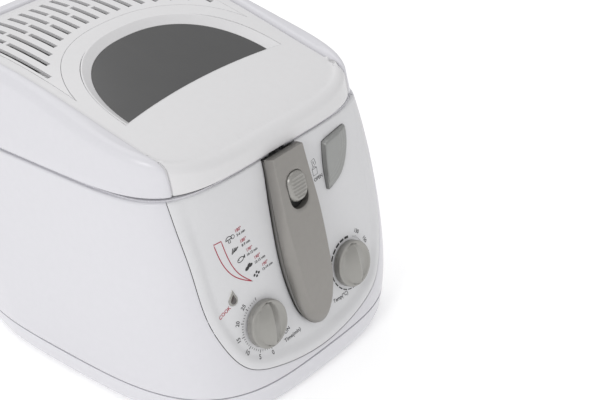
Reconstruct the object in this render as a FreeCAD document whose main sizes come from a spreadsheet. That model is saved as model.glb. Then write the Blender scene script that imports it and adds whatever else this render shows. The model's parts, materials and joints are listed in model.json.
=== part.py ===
import FreeCAD, Part
import math
import os
from FreeCAD import Placement, Rotation, Vector

# Deep fryer.  X to the right seen from the front, -Y to the front, +Z up.
# The origin is on the surface it stands on, in the middle of its bounding box.

doc = FreeCAD.newDocument("DeepFryer")
sheet = doc.addObject("Spreadsheet::Sheet", "Sizes")

SIZES = [
    # outer wall: its outline is given at four heights, from the base seam up to the lid seam
    ("base_half_width", 137), ("base_half_depth", 175), ("base_squareness", 3.4), ("base_shift_back", 0),
    ("low_height", 72), ("low_half_width", 135.5), ("low_half_depth", 165.5), ("low_squareness", 4.9),
    ("low_shift_back", 2), ("mid_height", 130), ("mid_half_width", 133), ("mid_half_depth", 159.5),
    ("mid_squareness", 5.8), ("mid_shift_back", 7), ("seam_half_width", 129), ("seam_half_depth", 150.5),
    ("seam_squareness", 5.4), ("seam_shift_back", 12.5),
    ("skirt_seam_height", 24), ("lid_seam_height", 202), ("seam_gap", 0.4), ("wall", 2.8),
    ("skirt_tuck", 5), ("gland_x", 70), ("gland_height", 46), ("foot_height", 3), ("foot_radius", 9),
    ("foot_spread_x", 88), ("foot_spread_y", 118),
    # front panel, sunk a little into the wall inside a raised rim
    ("panel_thick", 2.4), ("panel_sink", 3), ("panel_rim", 8), ("recess_depth", 34), ("cup_wall", 2.2),
    ("handle_gap", 0.6),
    # controls
    ("timer_x", 55.5), ("thermostat_x", 51.5), ("knob_line_height", 75), ("control_lean", 12),
    ("knob_radius", 20), ("knob_height", 13), ("shaft_radius", 3), ("knob_gap", 0.8),
    ("shaft_clearance", 0.05), ("lamp_x", 80), ("lamp_height", 108), ("lamp_radius", 4.4),
    ("button_thick", 5), ("button_gap", 0.4), ("button_travel", 4), ("button_x", 60), ("button_height", 168),
    ("button_lean", 11),
    ("latch_x", 70), ("latch_y", 108),
    # bowl and basket
    ("bowl_half_width", 98), ("bowl_front", 86), ("bowl_rear", 128), ("bowl_corner", 34), ("bowl_bottom", 62),
    ("bowl_wall", 1.2), ("flange", 8), ("deck_thick", 3.4),
    ("basket_gap", 7), ("basket_bottom", 84), ("basket_top", 180), ("basket_wall", 1.4), ("basket_lift", 36),
    ("arm_half_width", 6), ("arm_thick", 3), ("slot_half_width", 9),
    # basket handle and its lever
    ("handle_lean", 11.5), ("handle_top_y", 148.4), ("handle_top_height", 199.4), ("handle_length", 152),
    ("handle_half_width", 26), ("handle_top_half", 19), ("handle_belly_down", 88),
    ("handle_bow", 3.5), ("cover_thick", 9), ("underside_thick", 11), ("split_gap", 0.3),
    ("pivot_y", 140), ("pivot_height", 187.5), ("pin_radius", 2.5), ("lever_reach", 25.4),
    ("slider_travel", 6), ("slider_down", 27), ("slider_half_width", 10.5), ("slider_half_length", 13),
    # lid; its rim stands out a little past the body in front
    ("lid_half_depth", 153), ("lid_squareness", 4.6), ("lid_shift_back", 12),
    ("lid_taper", 0.16), ("lid_wall", 3), ("shoulder_step", 3.5), ("shoulder_half_width", 104),
    ("lid_front_height", 227), ("lid_knee_y", 74), ("lid_knee_height", 237), ("lid_mid_y", 7),
    ("lid_mid_height", 257), ("lid_high_height", 267.5), ("lid_rear_height", 262),
    ("inner_cover_drop", 9), ("sheet_thick", 1.2), ("lid_range", 80), ("hinge_y", 160), ("hinge_height", 217),
    ("hinge_spread", 62), ("hinge_pin_radius", 3),
    # window and filter cover
    ("window_front", 61), ("window_half_width", 80), ("window_depth", 92), ("window_squareness", 2.3),
    ("bezel_width", 9), ("bezel_drop", 5), ("lens_thick", 2.5),
    ("filter_gap", 22), ("filter_half_width", 97), ("filter_rear", 134), ("slot_pitch", 11.5), ("slot_width", 4.6),
    ("fit_gap", 0.3),
]
for row, (alias, value) in enumerate(SIZES, start=1):
    sheet.set("A%d" % row, alias)
    sheet.set("B%d" % row, str(value))
    sheet.setAlias("B%d" % row, alias)
doc.recompute()


def size(alias):
    return float(getattr(sheet, alias))


nodes = []


def node(label, obj):
    """Name a finished sub-part; its label is the name of its file."""
    obj.Label = label
    nodes.append((label, obj))
    return obj


def bind(obj, **expressions):
    """Bind properties to the sheet; x, y, z and tilt stand for the placement."""
    paths = {"x": "Placement.Base.x", "y": "Placement.Base.y", "z": "Placement.Base.z",
             "tilt": "Placement.Rotation.Angle"}
    for name, expression in expressions.items():
        path = paths.get(name, name)
        words = expression
        for alias, _ in sorted(SIZES, key=lambda row: -len(row[0])):
            words = words.replace("<%s>" % alias, "Sizes.%s" % alias)
        obj.setExpression(path, words)
    return obj


def block(name, length, width, height, x, y, z):
    """A box of the given size; x and y are its middle, z is its underside."""
    solid = doc.addObject("Part::Box", name)
    return bind(solid, Length=length, Width=width, Height=height,
                x="(%s) - (%s) / 2" % (x, length), y="(%s) - (%s) / 2" % (y, width), z=z)


def rod(name, radius, height, x, y, z, axis="Z"):
    """A cylinder that starts at (x, y, z) and runs along the given axis."""
    solid = doc.addObject("Part::Cylinder", name)
    turns = {"Z": Rotation(), "X": Rotation(Vector(0, 1, 0), 90), "Y": Rotation(Vector(1, 0, 0), -90)}
    solid.Placement = Placement(Vector(), turns[axis])
    return bind(solid, Radius=radius, Height=height, x=x, y=y, z=z)


def cut(name, base, *tools):
    for index, tool in enumerate(tools):
        result = doc.addObject("Part::Cut", "%s_%d" % (name, index))
        result.Base = base
        result.Tool = tool
        base = result
    return base


def join(name, *solids):
    result = doc.addObject("Part::MultiFuse", name)
    result.Shapes = list(solids)
    return result


def shape_object(name, shape):
    """A feature for a form that a formula describes, such as the barrel walls."""
    feature = doc.addObject("Part::Feature", name)
    feature.Shape = shape
    return feature


# ---- frames ----------------------------------------------------------------

handle_frame = Placement(Vector(0, -size("handle_top_y"), size("handle_top_height")),
                         Rotation(Vector(1, 0, 0), 90 - size("handle_lean")))
lid_slope = math.degrees(math.atan2(size("lid_mid_height") - size("lid_knee_height"),
                                    size("lid_mid_y") + size("lid_knee_y")))
lid_frame = Placement(Vector(0, -size("lid_knee_y"), size("lid_knee_height")),
                      Rotation(Vector(1, 0, 0), lid_slope))


def placed(shape, frame):
    moved = shape.copy()
    moved.Placement = frame.multiply(moved.Placement)
    return moved


# ---- outlines --------------------------------------------------------------

def rounded_oval(half_width, half_depth, squareness, centre_y=0.0, height=0.0, count=48):
    """Closed curve |x/a|^n + |y/b|^n = 1: straight sides that turn into round corners."""
    points = []
    for index in range(count):
        angle = 2 * math.pi * (index + 0.5) / count
        c, s = math.cos(angle), math.sin(angle)
        x = half_width * math.copysign(abs(c) ** (2 / squareness), c)
        y = centre_y + half_depth * math.copysign(abs(s) ** (2 / squareness), s)
        points.append(Vector(x, y, height))
    curve = Part.BSplineCurve()
    curve.interpolate(Points=points, PeriodicFlag=True)
    return Part.Wire([curve.toShape()])


WALL_STAGES = [("base", "skirt_seam_height"), ("low", "low_height"), ("mid", "mid_height"),
               ("seam", "lid_seam_height")]
WALL_KEYS = ("half_width", "half_depth", "squareness", "shift_back")


def through(heights, values, height):
    """Lagrange's polynomial: the smooth curve through all the given values."""
    total = 0.0
    for i, (own_height, value) in enumerate(zip(heights, values)):
        term = value
        for j, other in enumerate(heights):
            if j != i:
                term *= (height - other) / (own_height - other)
        total += term
    return total


def wall_numbers(height):
    heights = [size(stage_height) for _, stage_height in WALL_STAGES]
    return [through(heights, [size("%s_%s" % (stage, key)) for stage, _ in WALL_STAGES], height)
            for key in WALL_KEYS]


def wall_section(height, inset=0.0):
    """The outline of the outer wall at a height, moved inwards by inset."""
    half_width, half_depth, squareness, shift = wall_numbers(height)
    return rounded_oval(half_width - inset, half_depth - inset, squareness, shift, height)


def wall_solid(low, high, inset=0.0):
    steps = 6
    rings = [wall_section(low + (high - low) * index / steps, inset) for index in range(steps + 1)]
    return Part.makeLoft(rings, True, False)


def front_y(x, height, inset=0.0):
    """Where the front of the wall is at a place seen square on."""
    half_width, half_depth, squareness, shift = wall_numbers(height)
    reach = 1 - (abs(x) / (half_width - inset)) ** squareness
    return shift - (half_depth - inset) * reach ** (1 / squareness)


def lid_section(height, inset=0.0):
    taper = size("lid_taper") * (height - size("lid_seam_height"))
    return rounded_oval(size("seam_half_width") - inset - taper, size("lid_half_depth") - inset - 0.5 * taper,
                        size("lid_squareness"), size("lid_shift_back"), height)


def lid_solid(low, high, inset=0.0):
    return Part.makeLoft([lid_section(low, inset), lid_section(high, inset)], True, True)


def closed_face(points):
    return Part.Face(Part.makePolygon([Vector(*p) for p in points + points[:1]]))


def curve_through(points):
    curve = Part.BSplineCurve()
    curve.interpolate([Vector(*p) for p in points])
    return curve.toShape()


def prism(wire, bottom, top):
    """An outline drawn at height 0, made solid from bottom to top."""
    face = Part.Face(wire)
    face.translate(Vector(0, 0, bottom))
    return face.extrude(Vector(0, 0, top - bottom))


def sheet_through(wire, low, high):
    """An outline drawn in x and height (as x and y), made solid along Y from low to high."""
    upright = wire.copy()
    upright.rotate(Vector(), Vector(1, 0, 0), 90)
    face = Part.Face(upright)
    face.translate(Vector(0, low, 0))
    return face.extrude(Vector(0, high - low, 0))


def panel_outline(grow=0.0):
    """Front panel seen square on: sides that draw in downwards and a deep round bottom."""
    top = size("lid_seam_height") + 20
    right = [(110 + grow, 178), (108.5 + grow, 147), (104.5 + grow, 95), (98 + grow, 74 - grow * 0.3),
             (80 + grow * 0.7, 46 - grow * 0.7), (57, 36.5 - grow), (0, 28.5 - grow)]
    side = [(x, z, 0) for x, z in right] + [(-x, z, 0) for x, z in reversed(right[:-1])]
    ends = Vector(*side[0]), Vector(*side[-1])
    corners = Vector(ends[0].x, top, 0), Vector(ends[1].x, top, 0)
    return Part.Wire([curve_through(side), Part.LineSegment(ends[1], corners[1]).toShape(),
                      Part.LineSegment(corners[1], corners[0]).toShape(),
                      Part.LineSegment(corners[0], ends[0]).toShape()])


def handle_edge(top_half, belly_half, belly_down, low, tip_scale=1.0):
    """Outline of one layer of the handle in its own frame: x across, y up, top edge at 0."""
    right = [(top_half, -2, 0), (top_half + (belly_half - top_half) * 0.25, -28, 0), (belly_half, -belly_down, 0),
             (belly_half * 0.86, -(belly_down * 0.45 + low * 0.55), 0),
             (belly_half * 0.52 * tip_scale, -(belly_down * 0.12 + low * 0.88), 0), (0, -low, 0)]
    side = right + [(-x, y, z) for x, y, z in reversed(right[:-1])]
    return Part.Wire([curve_through(side),
                      Part.LineSegment(Vector(*side[-1]), Vector(-top_half, 0, 0)).toShape(),
                      Part.LineSegment(Vector(-top_half, 0, 0), Vector(top_half, 0, 0)).toShape(),
                      Part.LineSegment(Vector(top_half, 0, 0), Vector(*side[0])).toShape()])


def lifted(wire, height):
    return placed(wire, Placement(Vector(0, 0, height), Rotation()))


def handle_prism(grow, low, high):
    """The handle's own outline as an upright block in its frame, open at the top."""
    outline = handle_edge(size("handle_top_half") + grow, size("handle_half_width") + grow,
                          size("handle_belly_down"), size("handle_length") + grow)
    block = prism(outline, low, high)
    over = slab(2 * (size("handle_top_half") + grow), 60, high - low, 0, 27, low)
    return placed(block.fuse(over), handle_frame)


def window_outline(grow=0.0):
    """Half-moon in plan: a bowed front edge and one wide round rear edge."""
    a = size("window_half_width") + grow
    b = size("window_depth") + grow
    n = size("window_squareness")
    front = -size("window_front")
    points = []
    for index in range(17):
        angle = math.pi * index / 16
        c, s = math.cos(angle), math.sin(angle)
        points.append((a * math.copysign(abs(c) ** (2 / n), c), front + b * abs(s) ** (2 / n), 0))
    rear = curve_through(points)
    bow = 8.0
    low = front - 0.4 * grow
    left = Part.LineSegment(Vector(-a, front, 0), Vector(-a, low, 0)).toShape()
    right = Part.LineSegment(Vector(a, front, 0), Vector(a, low, 0)).toShape()
    edge = Part.Arc(Vector(-a, low, 0), Vector(0, low + bow, 0), Vector(a, low, 0)).toShape()
    return Part.Wire([rear, left, edge, right])


def filter_outline(inset=0.0):
    """Filter cover in plan: square behind, hollowed in front round the window."""
    w = size("filter_half_width") - inset
    rear = size("filter_rear") - inset
    a = size("window_half_width") + size("filter_gap") + inset
    b = size("window_depth") + size("filter_gap") + inset
    n = size("window_squareness")
    front = -size("window_front")
    edge = []
    steps = 12
    for index in range(steps + 1):
        x = w - 2 * w * index / steps
        edge.append((x, front + b * (1 - (abs(x) / a) ** n) ** (1 / n), 0))
    curve = curve_through(edge)
    r = 22.0
    k = r * (1 - math.sqrt(0.5))
    left = Part.LineSegment(Vector(*edge[-1]), Vector(-w, rear - r, 0)).toShape()
    corner_left = Part.Arc(Vector(-w, rear - r, 0), Vector(-w + k, rear - k, 0), Vector(-w + r, rear, 0)).toShape()
    back = Part.LineSegment(Vector(-w + r, rear, 0), Vector(w - r, rear, 0)).toShape()
    corner_right = Part.Arc(Vector(w - r, rear, 0), Vector(w - k, rear - k, 0), Vector(w, rear - r, 0)).toShape()
    right = Part.LineSegment(Vector(w, rear - r, 0), Vector(*edge[0])).toShape()
    return Part.Wire([curve, left, corner_left, back, corner_right, right])


def under_lid_top(drop):
    """Everything under the lid's centre line of height, lowered by drop."""
    front = -(size("lid_half_depth") - size("lid_shift_back"))
    seam = size("lid_seam_height")
    far = size("lid_half_depth") + size("lid_shift_back")
    crest = [(0, front - 1 + max(drop, 0), seam - 12), (0, front + 2 + max(drop, 0), seam + 10),
             (0, front + 28, size("lid_front_height") - drop),
             (0, -size("lid_knee_y"), size("lid_knee_height") - drop),
             (0, size("lid_mid_y"), size("lid_mid_height") - drop),
             (0, 75, size("lid_high_height") - drop),
             (0, far - 35, size("lid_high_height") + 0.5 - drop),
             (0, far + 3, size("lid_rear_height") - drop)]
    top = curve_through(crest)
    first, last = Vector(*crest[0]), Vector(*crest[-1])
    low = seam - 40
    sides = [Part.LineSegment(last, Vector(0, last.y, low)).toShape(),
             Part.LineSegment(Vector(0, last.y, low), Vector(0, first.y, low)).toShape(),
             Part.LineSegment(Vector(0, first.y, low), first).toShape()]
    face = Part.Face(Part.Wire([top] + sides))
    face.translate(Vector(-200, 0, 0))
    return face.extrude(Vector(400, 0, 0))


def slab(length, width, height, centre_x, centre_y, bottom):
    return Part.makeBox(length, width, height, Vector(centre_x - length / 2, centre_y - width / 2, bottom))


def rounded_slab(half_width, front, rear, radius, bottom, top):
    """Upright block with round vertical edges."""
    body = Part.makeBox(2 * half_width, rear + front, top - bottom, Vector(-half_width, -front, bottom))
    upright = [e for e in body.Edges if abs(e.tangentAt(e.FirstParameter).z) > 0.9]
    return body.makeFillet(radius, upright)


GAP = size("fit_gap")
SEAM = size("lid_seam_height")
DECK = SEAM - size("seam_gap")
SKIRT = size("skirt_seam_height")

# ---- front panel, outer shell and base --------------------------------------

FAR = 260.0
wall_top = DECK
sink = size("panel_sink")
panel_thick = size("panel_thick")
body_solid = wall_solid(SKIRT + size("seam_gap"), wall_top)
panel_back = wall_solid(SKIRT - 1, wall_top + 1, sink + panel_thick)
panel_floor = wall_solid(SKIRT - 1, wall_top + 1, sink)
panel_hole = sheet_through(panel_outline(GAP), -FAR, -60)
panel_zone = sheet_through(panel_outline(), -FAR, -60)
sunk_zone = sheet_through(panel_outline(-size("panel_rim")), -FAR, -60)
depth = size("recess_depth")
cup_wall = size("cup_wall")
room = size("handle_gap")
recess = handle_prism(room, -90, 60).cut(wall_solid(SKIRT - 1, wall_top + 1, depth))
cup = handle_prism(room + cup_wall, -90, 60).common(panel_floor).cut(
    wall_solid(SKIRT - 1, wall_top + 1, depth + cup_wall))
cup_room = handle_prism(room + cup_wall + GAP, -90, 60).cut(
    wall_solid(SKIRT - 1, wall_top + 1, depth + cup_wall + GAP))
basket_slot = slab(2 * size("slot_half_width"), 60, 90, 0, -size("bowl_front") - 16, 158)
behind_cup = slab(400, 100, 400, 0, 50 - size("bowl_front") - 1.5, 0)
front_panel_shape = body_solid.common(panel_zone).cut(panel_back)
front_panel_shape = front_panel_shape.cut(sunk_zone.cut(panel_floor))
front_panel_shape = front_panel_shape.fuse(cup.common(slab(400, 400, wall_top - 8, 0, 0, 8)))
front_panel_shape = front_panel_shape.cut(recess).cut(basket_slot).cut(behind_cup)

def on_wall(x, height, lean):
    """A frame on the sunk floor of the panel: x across, y up along it, z outwards."""
    return Placement(Vector(x, front_y(x, height, sink), height), Rotation(Vector(1, 0, 0), 90 - lean))


knob_x = {-1: -size("timer_x"), 1: size("thermostat_x")}
knob_frames = {side: on_wall(x, size("knob_line_height"), size("control_lean")) for side, x in knob_x.items()}
lamp_frame = on_wall(-size("lamp_x"), size("lamp_height"), size("control_lean"))
button_frame = on_wall(size("button_x"), size("button_height"), size("button_lean"))
for side in (-1, 1):
    hole = Part.makeCylinder(size("shaft_radius") + 0.5, 40, Vector(0, 0, -20))
    front_panel_shape = front_panel_shape.cut(placed(hole, knob_frames[side]))
lamp_hole = Part.makeCylinder(size("lamp_radius") + GAP, 40, Vector(0, 0, -20))
front_panel_shape = front_panel_shape.cut(placed(lamp_hole, lamp_frame))


def leaf(grow=0.0):
    """Outline of the opening button: a straight side along the handle and a bowed outer side."""
    corner = Vector(-13 - grow, 18.5 + grow, 0)
    tip = Vector(-18 - grow, -22 - grow * 1.5, 0)
    shoulder = Vector(16 + grow, 21.5 + grow, 0)
    middle = Vector(10 + grow, -6 - grow, 0)
    return Part.Wire([Part.LineSegment(tip, corner).toShape(),
                      Part.Arc(corner, (corner + shoulder) * 0.5 + Vector(0, 1, 0), shoulder).toShape(),
                      Part.Arc(shoulder, middle, tip).toShape()])


button_gap = size("button_gap")
front_panel_shape = front_panel_shape.cut(placed(prism(leaf(button_gap), -20, 20), button_frame))

# two lugs in the recess carry the pin of the handle
pivot = Vector(0, -size("pivot_y"), size("pivot_height"))
lug_radius = 6.0
lug_x, lug_thick = 11.5, 4.0
recess_back = front_y(0, size("pivot_height"), depth)
for side in (-1, 1):
    x = side * lug_x - lug_thick / 2
    eye = Part.makeCylinder(lug_radius, lug_thick, Vector(x, pivot.y, pivot.z), Vector(1, 0, 0))
    strut = Part.makeBox(lug_thick, recess_back + 1 - pivot.y, 2 * lug_radius - 3,
                         Vector(x, pivot.y, pivot.z - lug_radius))
    bore = Part.makeCylinder(size("pin_radius") + size("shaft_clearance"), 8, Vector(x - 2, pivot.y, pivot.z),
                             Vector(1, 0, 0))
    front_panel_shape = front_panel_shape.fuse(eye.fuse(strut)).cut(bore)
front_panel_shape = front_panel_shape.removeSplitter()
node("front_panel", shape_object("FrontPanel", front_panel_shape))

shell = body_solid.cut(wall_solid(SKIRT - 1, DECK - size("deck_thick"), size("wall")))
shell = shell.cut(panel_hole.common(wall_solid(SKIRT - 1, wall_top + 1, -2)).cut(
    wall_solid(SKIRT - 1, wall_top + 1, sink + panel_thick + GAP))).cut(cup_room)
deck_hole = rounded_slab(size("bowl_half_width") + 1, size("bowl_front") + 1, size("bowl_rear") + 1,
                         size("bowl_corner") + 1, DECK - 20, DECK + 20)
latch_x, latch_y = size("latch_x"), -size("latch_y")
latch_slot = slab(9, 16, 60, latch_x, latch_y, DECK - 20)
shell = shell.cut(deck_hole).cut(basket_slot).cut(latch_slot)
for side in (-1, 1):
    shell = shell.cut(slab(13, 30, 20, side * size("hinge_spread"), 155, DECK - 10))
shell = shell.cut(Part.makeCylinder(6.2, 60, Vector(size("gland_x"), 130, size("gland_height")), Vector(0, 1, 0)))
node("outer_shell", shape_object("OuterShell", shell))

foot_height = size("foot_height")
base_low = rounded_oval(size("base_half_width") - size("skirt_tuck") * 0.4,
                        size("base_half_depth") - size("skirt_tuck") * 0.4, size("base_squareness"), 0, foot_height + 7)
base_foot = rounded_oval(size("base_half_width") - size("skirt_tuck"), size("base_half_depth") - size("skirt_tuck"),
                         size("base_squareness"), 0, foot_height)
base_shape = Part.makeLoft([base_foot, base_low, wall_section(SKIRT)], True, True)
base_hollow = Part.makeLoft([rounded_oval(size("base_half_width") - size("skirt_tuck") - size("wall") - 1,
                                          size("base_half_depth") - size("skirt_tuck") - size("wall") - 1,
                                          size("base_squareness"), 0, foot_height + 3),
                             wall_section(SKIRT + 1, size("wall"))], True, True)
base_shape = base_shape.cut(base_hollow)
# a tongue all round inside the shell keeps the two mouldings in line
tongue_low, tongue_high = SKIRT - 3, SKIRT + 4
tongue_inset = size("wall") + GAP


def skirt_ring(low, high, outer_inset, inner_inset):
    """A thin upright ring that follows the wall near the base seam."""
    outer = Part.makeLoft([wall_section(low, outer_inset), wall_section(high, outer_inset)], True, True)
    inner = Part.makeLoft([wall_section(low - 1, inner_inset), wall_section(high + 1, inner_inset)], True, True)
    return outer.cut(inner)


tongue = skirt_ring(tongue_low, tongue_high, tongue_inset, tongue_inset + 2)
base_tongue_root = skirt_ring(tongue_low, SKIRT - 0.2, size("wall") * 0.5, tongue_inset + 2)
base_shape = base_shape.fuse([base_tongue_root, tongue]).cut(panel_hole)
for index in range(9):
    base_shape = base_shape.cut(slab(60, 4, 30, 0, -64 + 16 * index, -1))
node("base", shape_object("Base", base_shape))

foot_places = [("front_left", "-", "-"), ("front_right", "", "-"), ("rear_left", "-", ""), ("rear_right", "", "")]
for name, sx, sy in foot_places:
    foot = rod("Foot_" + name, "<foot_radius>", "<foot_height>", sx + "<foot_spread_x>", sy + "<foot_spread_y>", "0")
    node("foot_" + name, foot)

screws = []
for index, (sx, sy) in enumerate([("-", "-"), ("", "-"), ("-", ""), ("", "")]):
    screws.append(rod("BaseScrew%d" % index, "2.2", "14", sx + "(<foot_spread_x> - 20)", sy + "<foot_spread_y>",
                      "<foot_height> + 3"))
node("base_screws", doc.addObject("Part::Compound", "BaseScrews")).Links = screws

# ---- bowl, heating and electrics --------------------------------------------

BOWL_W, BOWL_F, BOWL_R, BOWL_C = (size("bowl_half_width"), size("bowl_front"), size("bowl_rear"),
                                  size("bowl_corner"))
bowl_wall = size("bowl_wall")
flange = size("flange")
bowl = rounded_slab(BOWL_W, BOWL_F, BOWL_R, BOWL_C, size("bowl_bottom"), DECK + 1.4)
bowl = bowl.fuse(rounded_slab(BOWL_W + flange, BOWL_F + flange * 0.6, BOWL_R + flange, BOWL_C + flange * 0.6,
                              DECK + 0.2, DECK + 1.4))
bowl = bowl.cut(rounded_slab(BOWL_W - bowl_wall, BOWL_F - bowl_wall, BOWL_R - bowl_wall, BOWL_C - bowl_wall,
                             size("bowl_bottom") + bowl_wall, DECK + 10))
bowl = bowl.cut(basket_slot)
node("bowl", shape_object("Bowl", bowl))

element_z = size("bowl_bottom") - 5.0
ring = rounded_slab(66, 50, 92, 30, element_z - 4, element_z + 4).cut(rounded_slab(58, 42, 84, 22, element_z - 5,
                                                                                  element_z + 5))
node("heating_element", shape_object("HeatingElement", ring))
node("heat_shield", block("HeatShield", "180", "196", "1.2", "0", "21", "<bowl_bottom> - 16"))
posts = [rod("ShieldPost%d" % i, "4", "<bowl_bottom> - 16.3 - <foot_height> - 3.3", x, y, "<foot_height> + 3.2")
         for i, (x, y) in enumerate([("-70", "-50"), ("70", "-50"), ("-70", "92"), ("70", "92")])]
node("shield_posts", doc.addObject("Part::Compound", "ShieldPosts")).Links = posts
spacers = [rod("ElementSpacer%d" % i, "3", "5.2", x, y, "<bowl_bottom> - 14.6")
           for i, (x, y) in enumerate([("-62", "0"), ("62", "0"), ("-62", "42"), ("62", "42")])]
node("element_brackets", doc.addObject("Part::Compound", "ElementBrackets")).Links = spacers
node("thermal_cutout", rod("ThermalCutout", "8", "8", "0", "21", "<bowl_bottom> - 8.4"))
node("terminal_block", block("TerminalBlock", "46", "22", "18", "20", "140", "<foot_height> + 3.2"))

gland = join("GlandParts", rod("GlandBush", "6", "22", "<gland_x>", "<base_half_depth> - 26", "<gland_height>", "Y"),
             rod("GlandFlange", "9", "3", "<gland_x>", "<base_half_depth> - 26", "<gland_height>", "Y"))
node("cord_gland", cut("CordGland", gland,
                       rod("GlandBore", "3.6", "40", "<gland_x>", "<base_half_depth> - 30", "<gland_height>", "Y")))


def control(side, box_width, box_height):
    """Housing behind the panel and the shaft that the knob sits on."""
    back = -panel_thick - 1.2
    housing = slab(box_width, box_height, 26, 0, 0, back - 26)
    neck = Part.makeCylinder(size("shaft_radius") + 2, 2, Vector(0, 0, back - 3))
    bore = Part.makeCylinder(size("shaft_radius") + size("shaft_clearance"), 18, Vector(0, 0, back - 12))
    shaft_low = back - 11.5
    shaft = Part.makeCylinder(size("shaft_radius"), size("knob_height") * 0.58 - shaft_low,
                              Vector(0, 0, shaft_low))
    housing = placed(housing.fuse(neck).cut(bore), knob_frames[side])
    housing = housing.common(wall_solid(SKIRT + 1, DECK - 5, sink + panel_thick + GAP))
    return housing, placed(shaft, knob_frames[side])


def knob_shape():
    """Round knob with a raised grip bar across it and a blind hole for the shaft."""
    r, h = size("knob_radius"), size("knob_height")
    gap = size("knob_gap")
    profile = [(0, 0, gap), (r, 0, gap), (r, 0, h * 0.55), (r - 2.4, 0, h * 0.72), (0, 0, h * 0.72)]
    body = closed_face(profile).revolve(Vector(), Vector(0, 0, 1), 360)
    bar = Part.makeBox(7, 2 * r - 2.4, h * 0.6, Vector(-3.5, -r + 1.2, h * 0.4))
    top_edges = [e for e in bar.Edges if abs(e.BoundBox.ZLength) < 1e-6 and e.BoundBox.ZMin > h * 0.9]
    body = body.fuse(bar.makeFillet(2.2, top_edges))
    return body.cut(Part.makeCylinder(size("shaft_radius") + size("shaft_clearance"), h * 0.62))


for side, name, box_width, box_height in ((-1, "timer", 40, 44), (1, "thermostat", 42, 36)):
    housing, shaft = control(side, box_width, box_height)
    node(name + "_housing", shape_object(name.title() + "Housing", housing))
    node(name + "_shaft", shape_object(name.title() + "Shaft", shaft))
    node(name + "_knob", shape_object(name.title() + "Knob", placed(knob_shape(), knob_frames[side])))

lamp = Part.makeCylinder(size("lamp_radius"), panel_thick + 2.5, Vector(0, 0, -panel_thick - 1))
node("pilot_lamp", shape_object("PilotLamp", placed(lamp, lamp_frame)))
holder = Part.makeCylinder(size("lamp_radius") + 2.4, 18, Vector(0, 0, -panel_thick - 18.6))
holder = holder.cut(Part.makeCylinder(size("lamp_radius") - 1, 17, Vector(0, 0, -panel_thick - 16)))
holder = holder.cut(Part.makeCylinder(size("lamp_radius") + 0.2, 17, Vector(0, 0, -panel_thick - 1.2)))
holder = placed(holder, lamp_frame).common(wall_solid(SKIRT + 1, DECK - 5, sink + panel_thick + GAP))
node("lamp_holder", shape_object("LampHolder", holder))

# ---- opening button and latch -----------------------------------------------

button_body = prism(leaf(), -1.5, size("button_thick")).fuse(
    Part.makeCylinder(3.2, 16, Vector(size("latch_x") - size("button_x"), 12, -16)))
node("open_button", shape_object("OpenButton", placed(button_body, button_frame)))

latch_pin_y, latch_pin_z = latch_y, 150.0
hook = slab(6, 4, DECK + 12 - latch_pin_z, latch_x, latch_y, latch_pin_z)
hook = hook.fuse(slab(6, 10, 4, latch_x, latch_y - 3, DECK + 8))
hook = hook.fuse(Part.makeCylinder(5, 6, Vector(latch_x - 3, latch_pin_y, latch_pin_z), Vector(1, 0, 0)))
pin_bore = Part.makeCylinder(size("pin_radius") + size("shaft_clearance"), 12,
                             Vector(latch_x - 6, latch_pin_y, latch_pin_z), Vector(1, 0, 0))
node("latch_hook", shape_object("LatchHook", hook.cut(pin_bore)))
node("latch_pin", rod("LatchPin", "<pin_radius>", "16", "%g" % (latch_x - 8), "%g" % latch_pin_y,
                      "%g" % latch_pin_z, "X"))
cheeks = Part.makeBox(2, 17, 16, Vector(latch_x - 7.5, latch_pin_y - 6, latch_pin_z - 10)).fuse(
    Part.makeBox(2, 17, 16, Vector(latch_x + 5.5, latch_pin_y - 6, latch_pin_z - 10)))
foot_plate = Part.makeBox(15, 17, 2, Vector(latch_x - 7.5, latch_pin_y - 6, latch_pin_z - 12))
stay = Part.makeBox(15, 2, DECK - size("deck_thick") - GAP - latch_pin_z + 12,
                    Vector(latch_x - 7.5, latch_pin_y + 9, latch_pin_z - 12))
bracket = cheeks.fuse(foot_plate).fuse(stay)
bracket = bracket.cut(Part.makeCylinder(size("pin_radius") + size("shaft_clearance"), 30,
                                        Vector(latch_x - 15, latch_pin_y, latch_pin_z), Vector(1, 0, 0)))
node("latch_bracket", shape_object("LatchBracket", bracket))

# ---- basket ------------------------------------------------------------------

gap = size("basket_gap")
bk_w, bk_f, bk_r, bk_c = BOWL_W - gap, BOWL_F - gap, BOWL_R - gap, BOWL_C - gap
bk_wall = size("basket_wall")
low, high = size("basket_bottom"), size("basket_top")
mesh = rounded_slab(bk_w, bk_f, bk_r, bk_c, low, high - 3.2).cut(
    rounded_slab(bk_w - bk_wall, bk_f - bk_wall, bk_r - bk_wall, bk_c - bk_wall, low + bk_wall, high + 5))
node("basket_mesh", shape_object("BasketMesh", mesh))
rim = rounded_slab(bk_w + 1, bk_f + 1, bk_r + 1, bk_c + 1, high - 3, high).cut(
    rounded_slab(bk_w - 3, bk_f - 3, bk_r - 3, bk_c - 3, high - 4, high + 1))
node("basket_rim", shape_object("BasketRim", rim))
arm_low = pivot.z - size("lever_reach") * math.sin(math.radians(45)) + 3 + 0.9
arm_front = pivot.y + size("lever_reach") * math.cos(math.radians(45)) + 0.6
arm = Part.makeBox(2 * size("arm_half_width"), -arm_front - bk_f - 1.3, size("arm_thick"),
                   Vector(-size("arm_half_width"), arm_front, arm_low))
plate_back = Part.makeBox(2 * size("arm_half_width"), 1.6, high - 3.4 - (arm_low - 18),
                          Vector(-size("arm_half_width"), -bk_f - 1.9, arm_low - 18))
node("basket_arm", shape_object("BasketArm", arm.fuse(plate_back).removeSplitter()))
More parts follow.
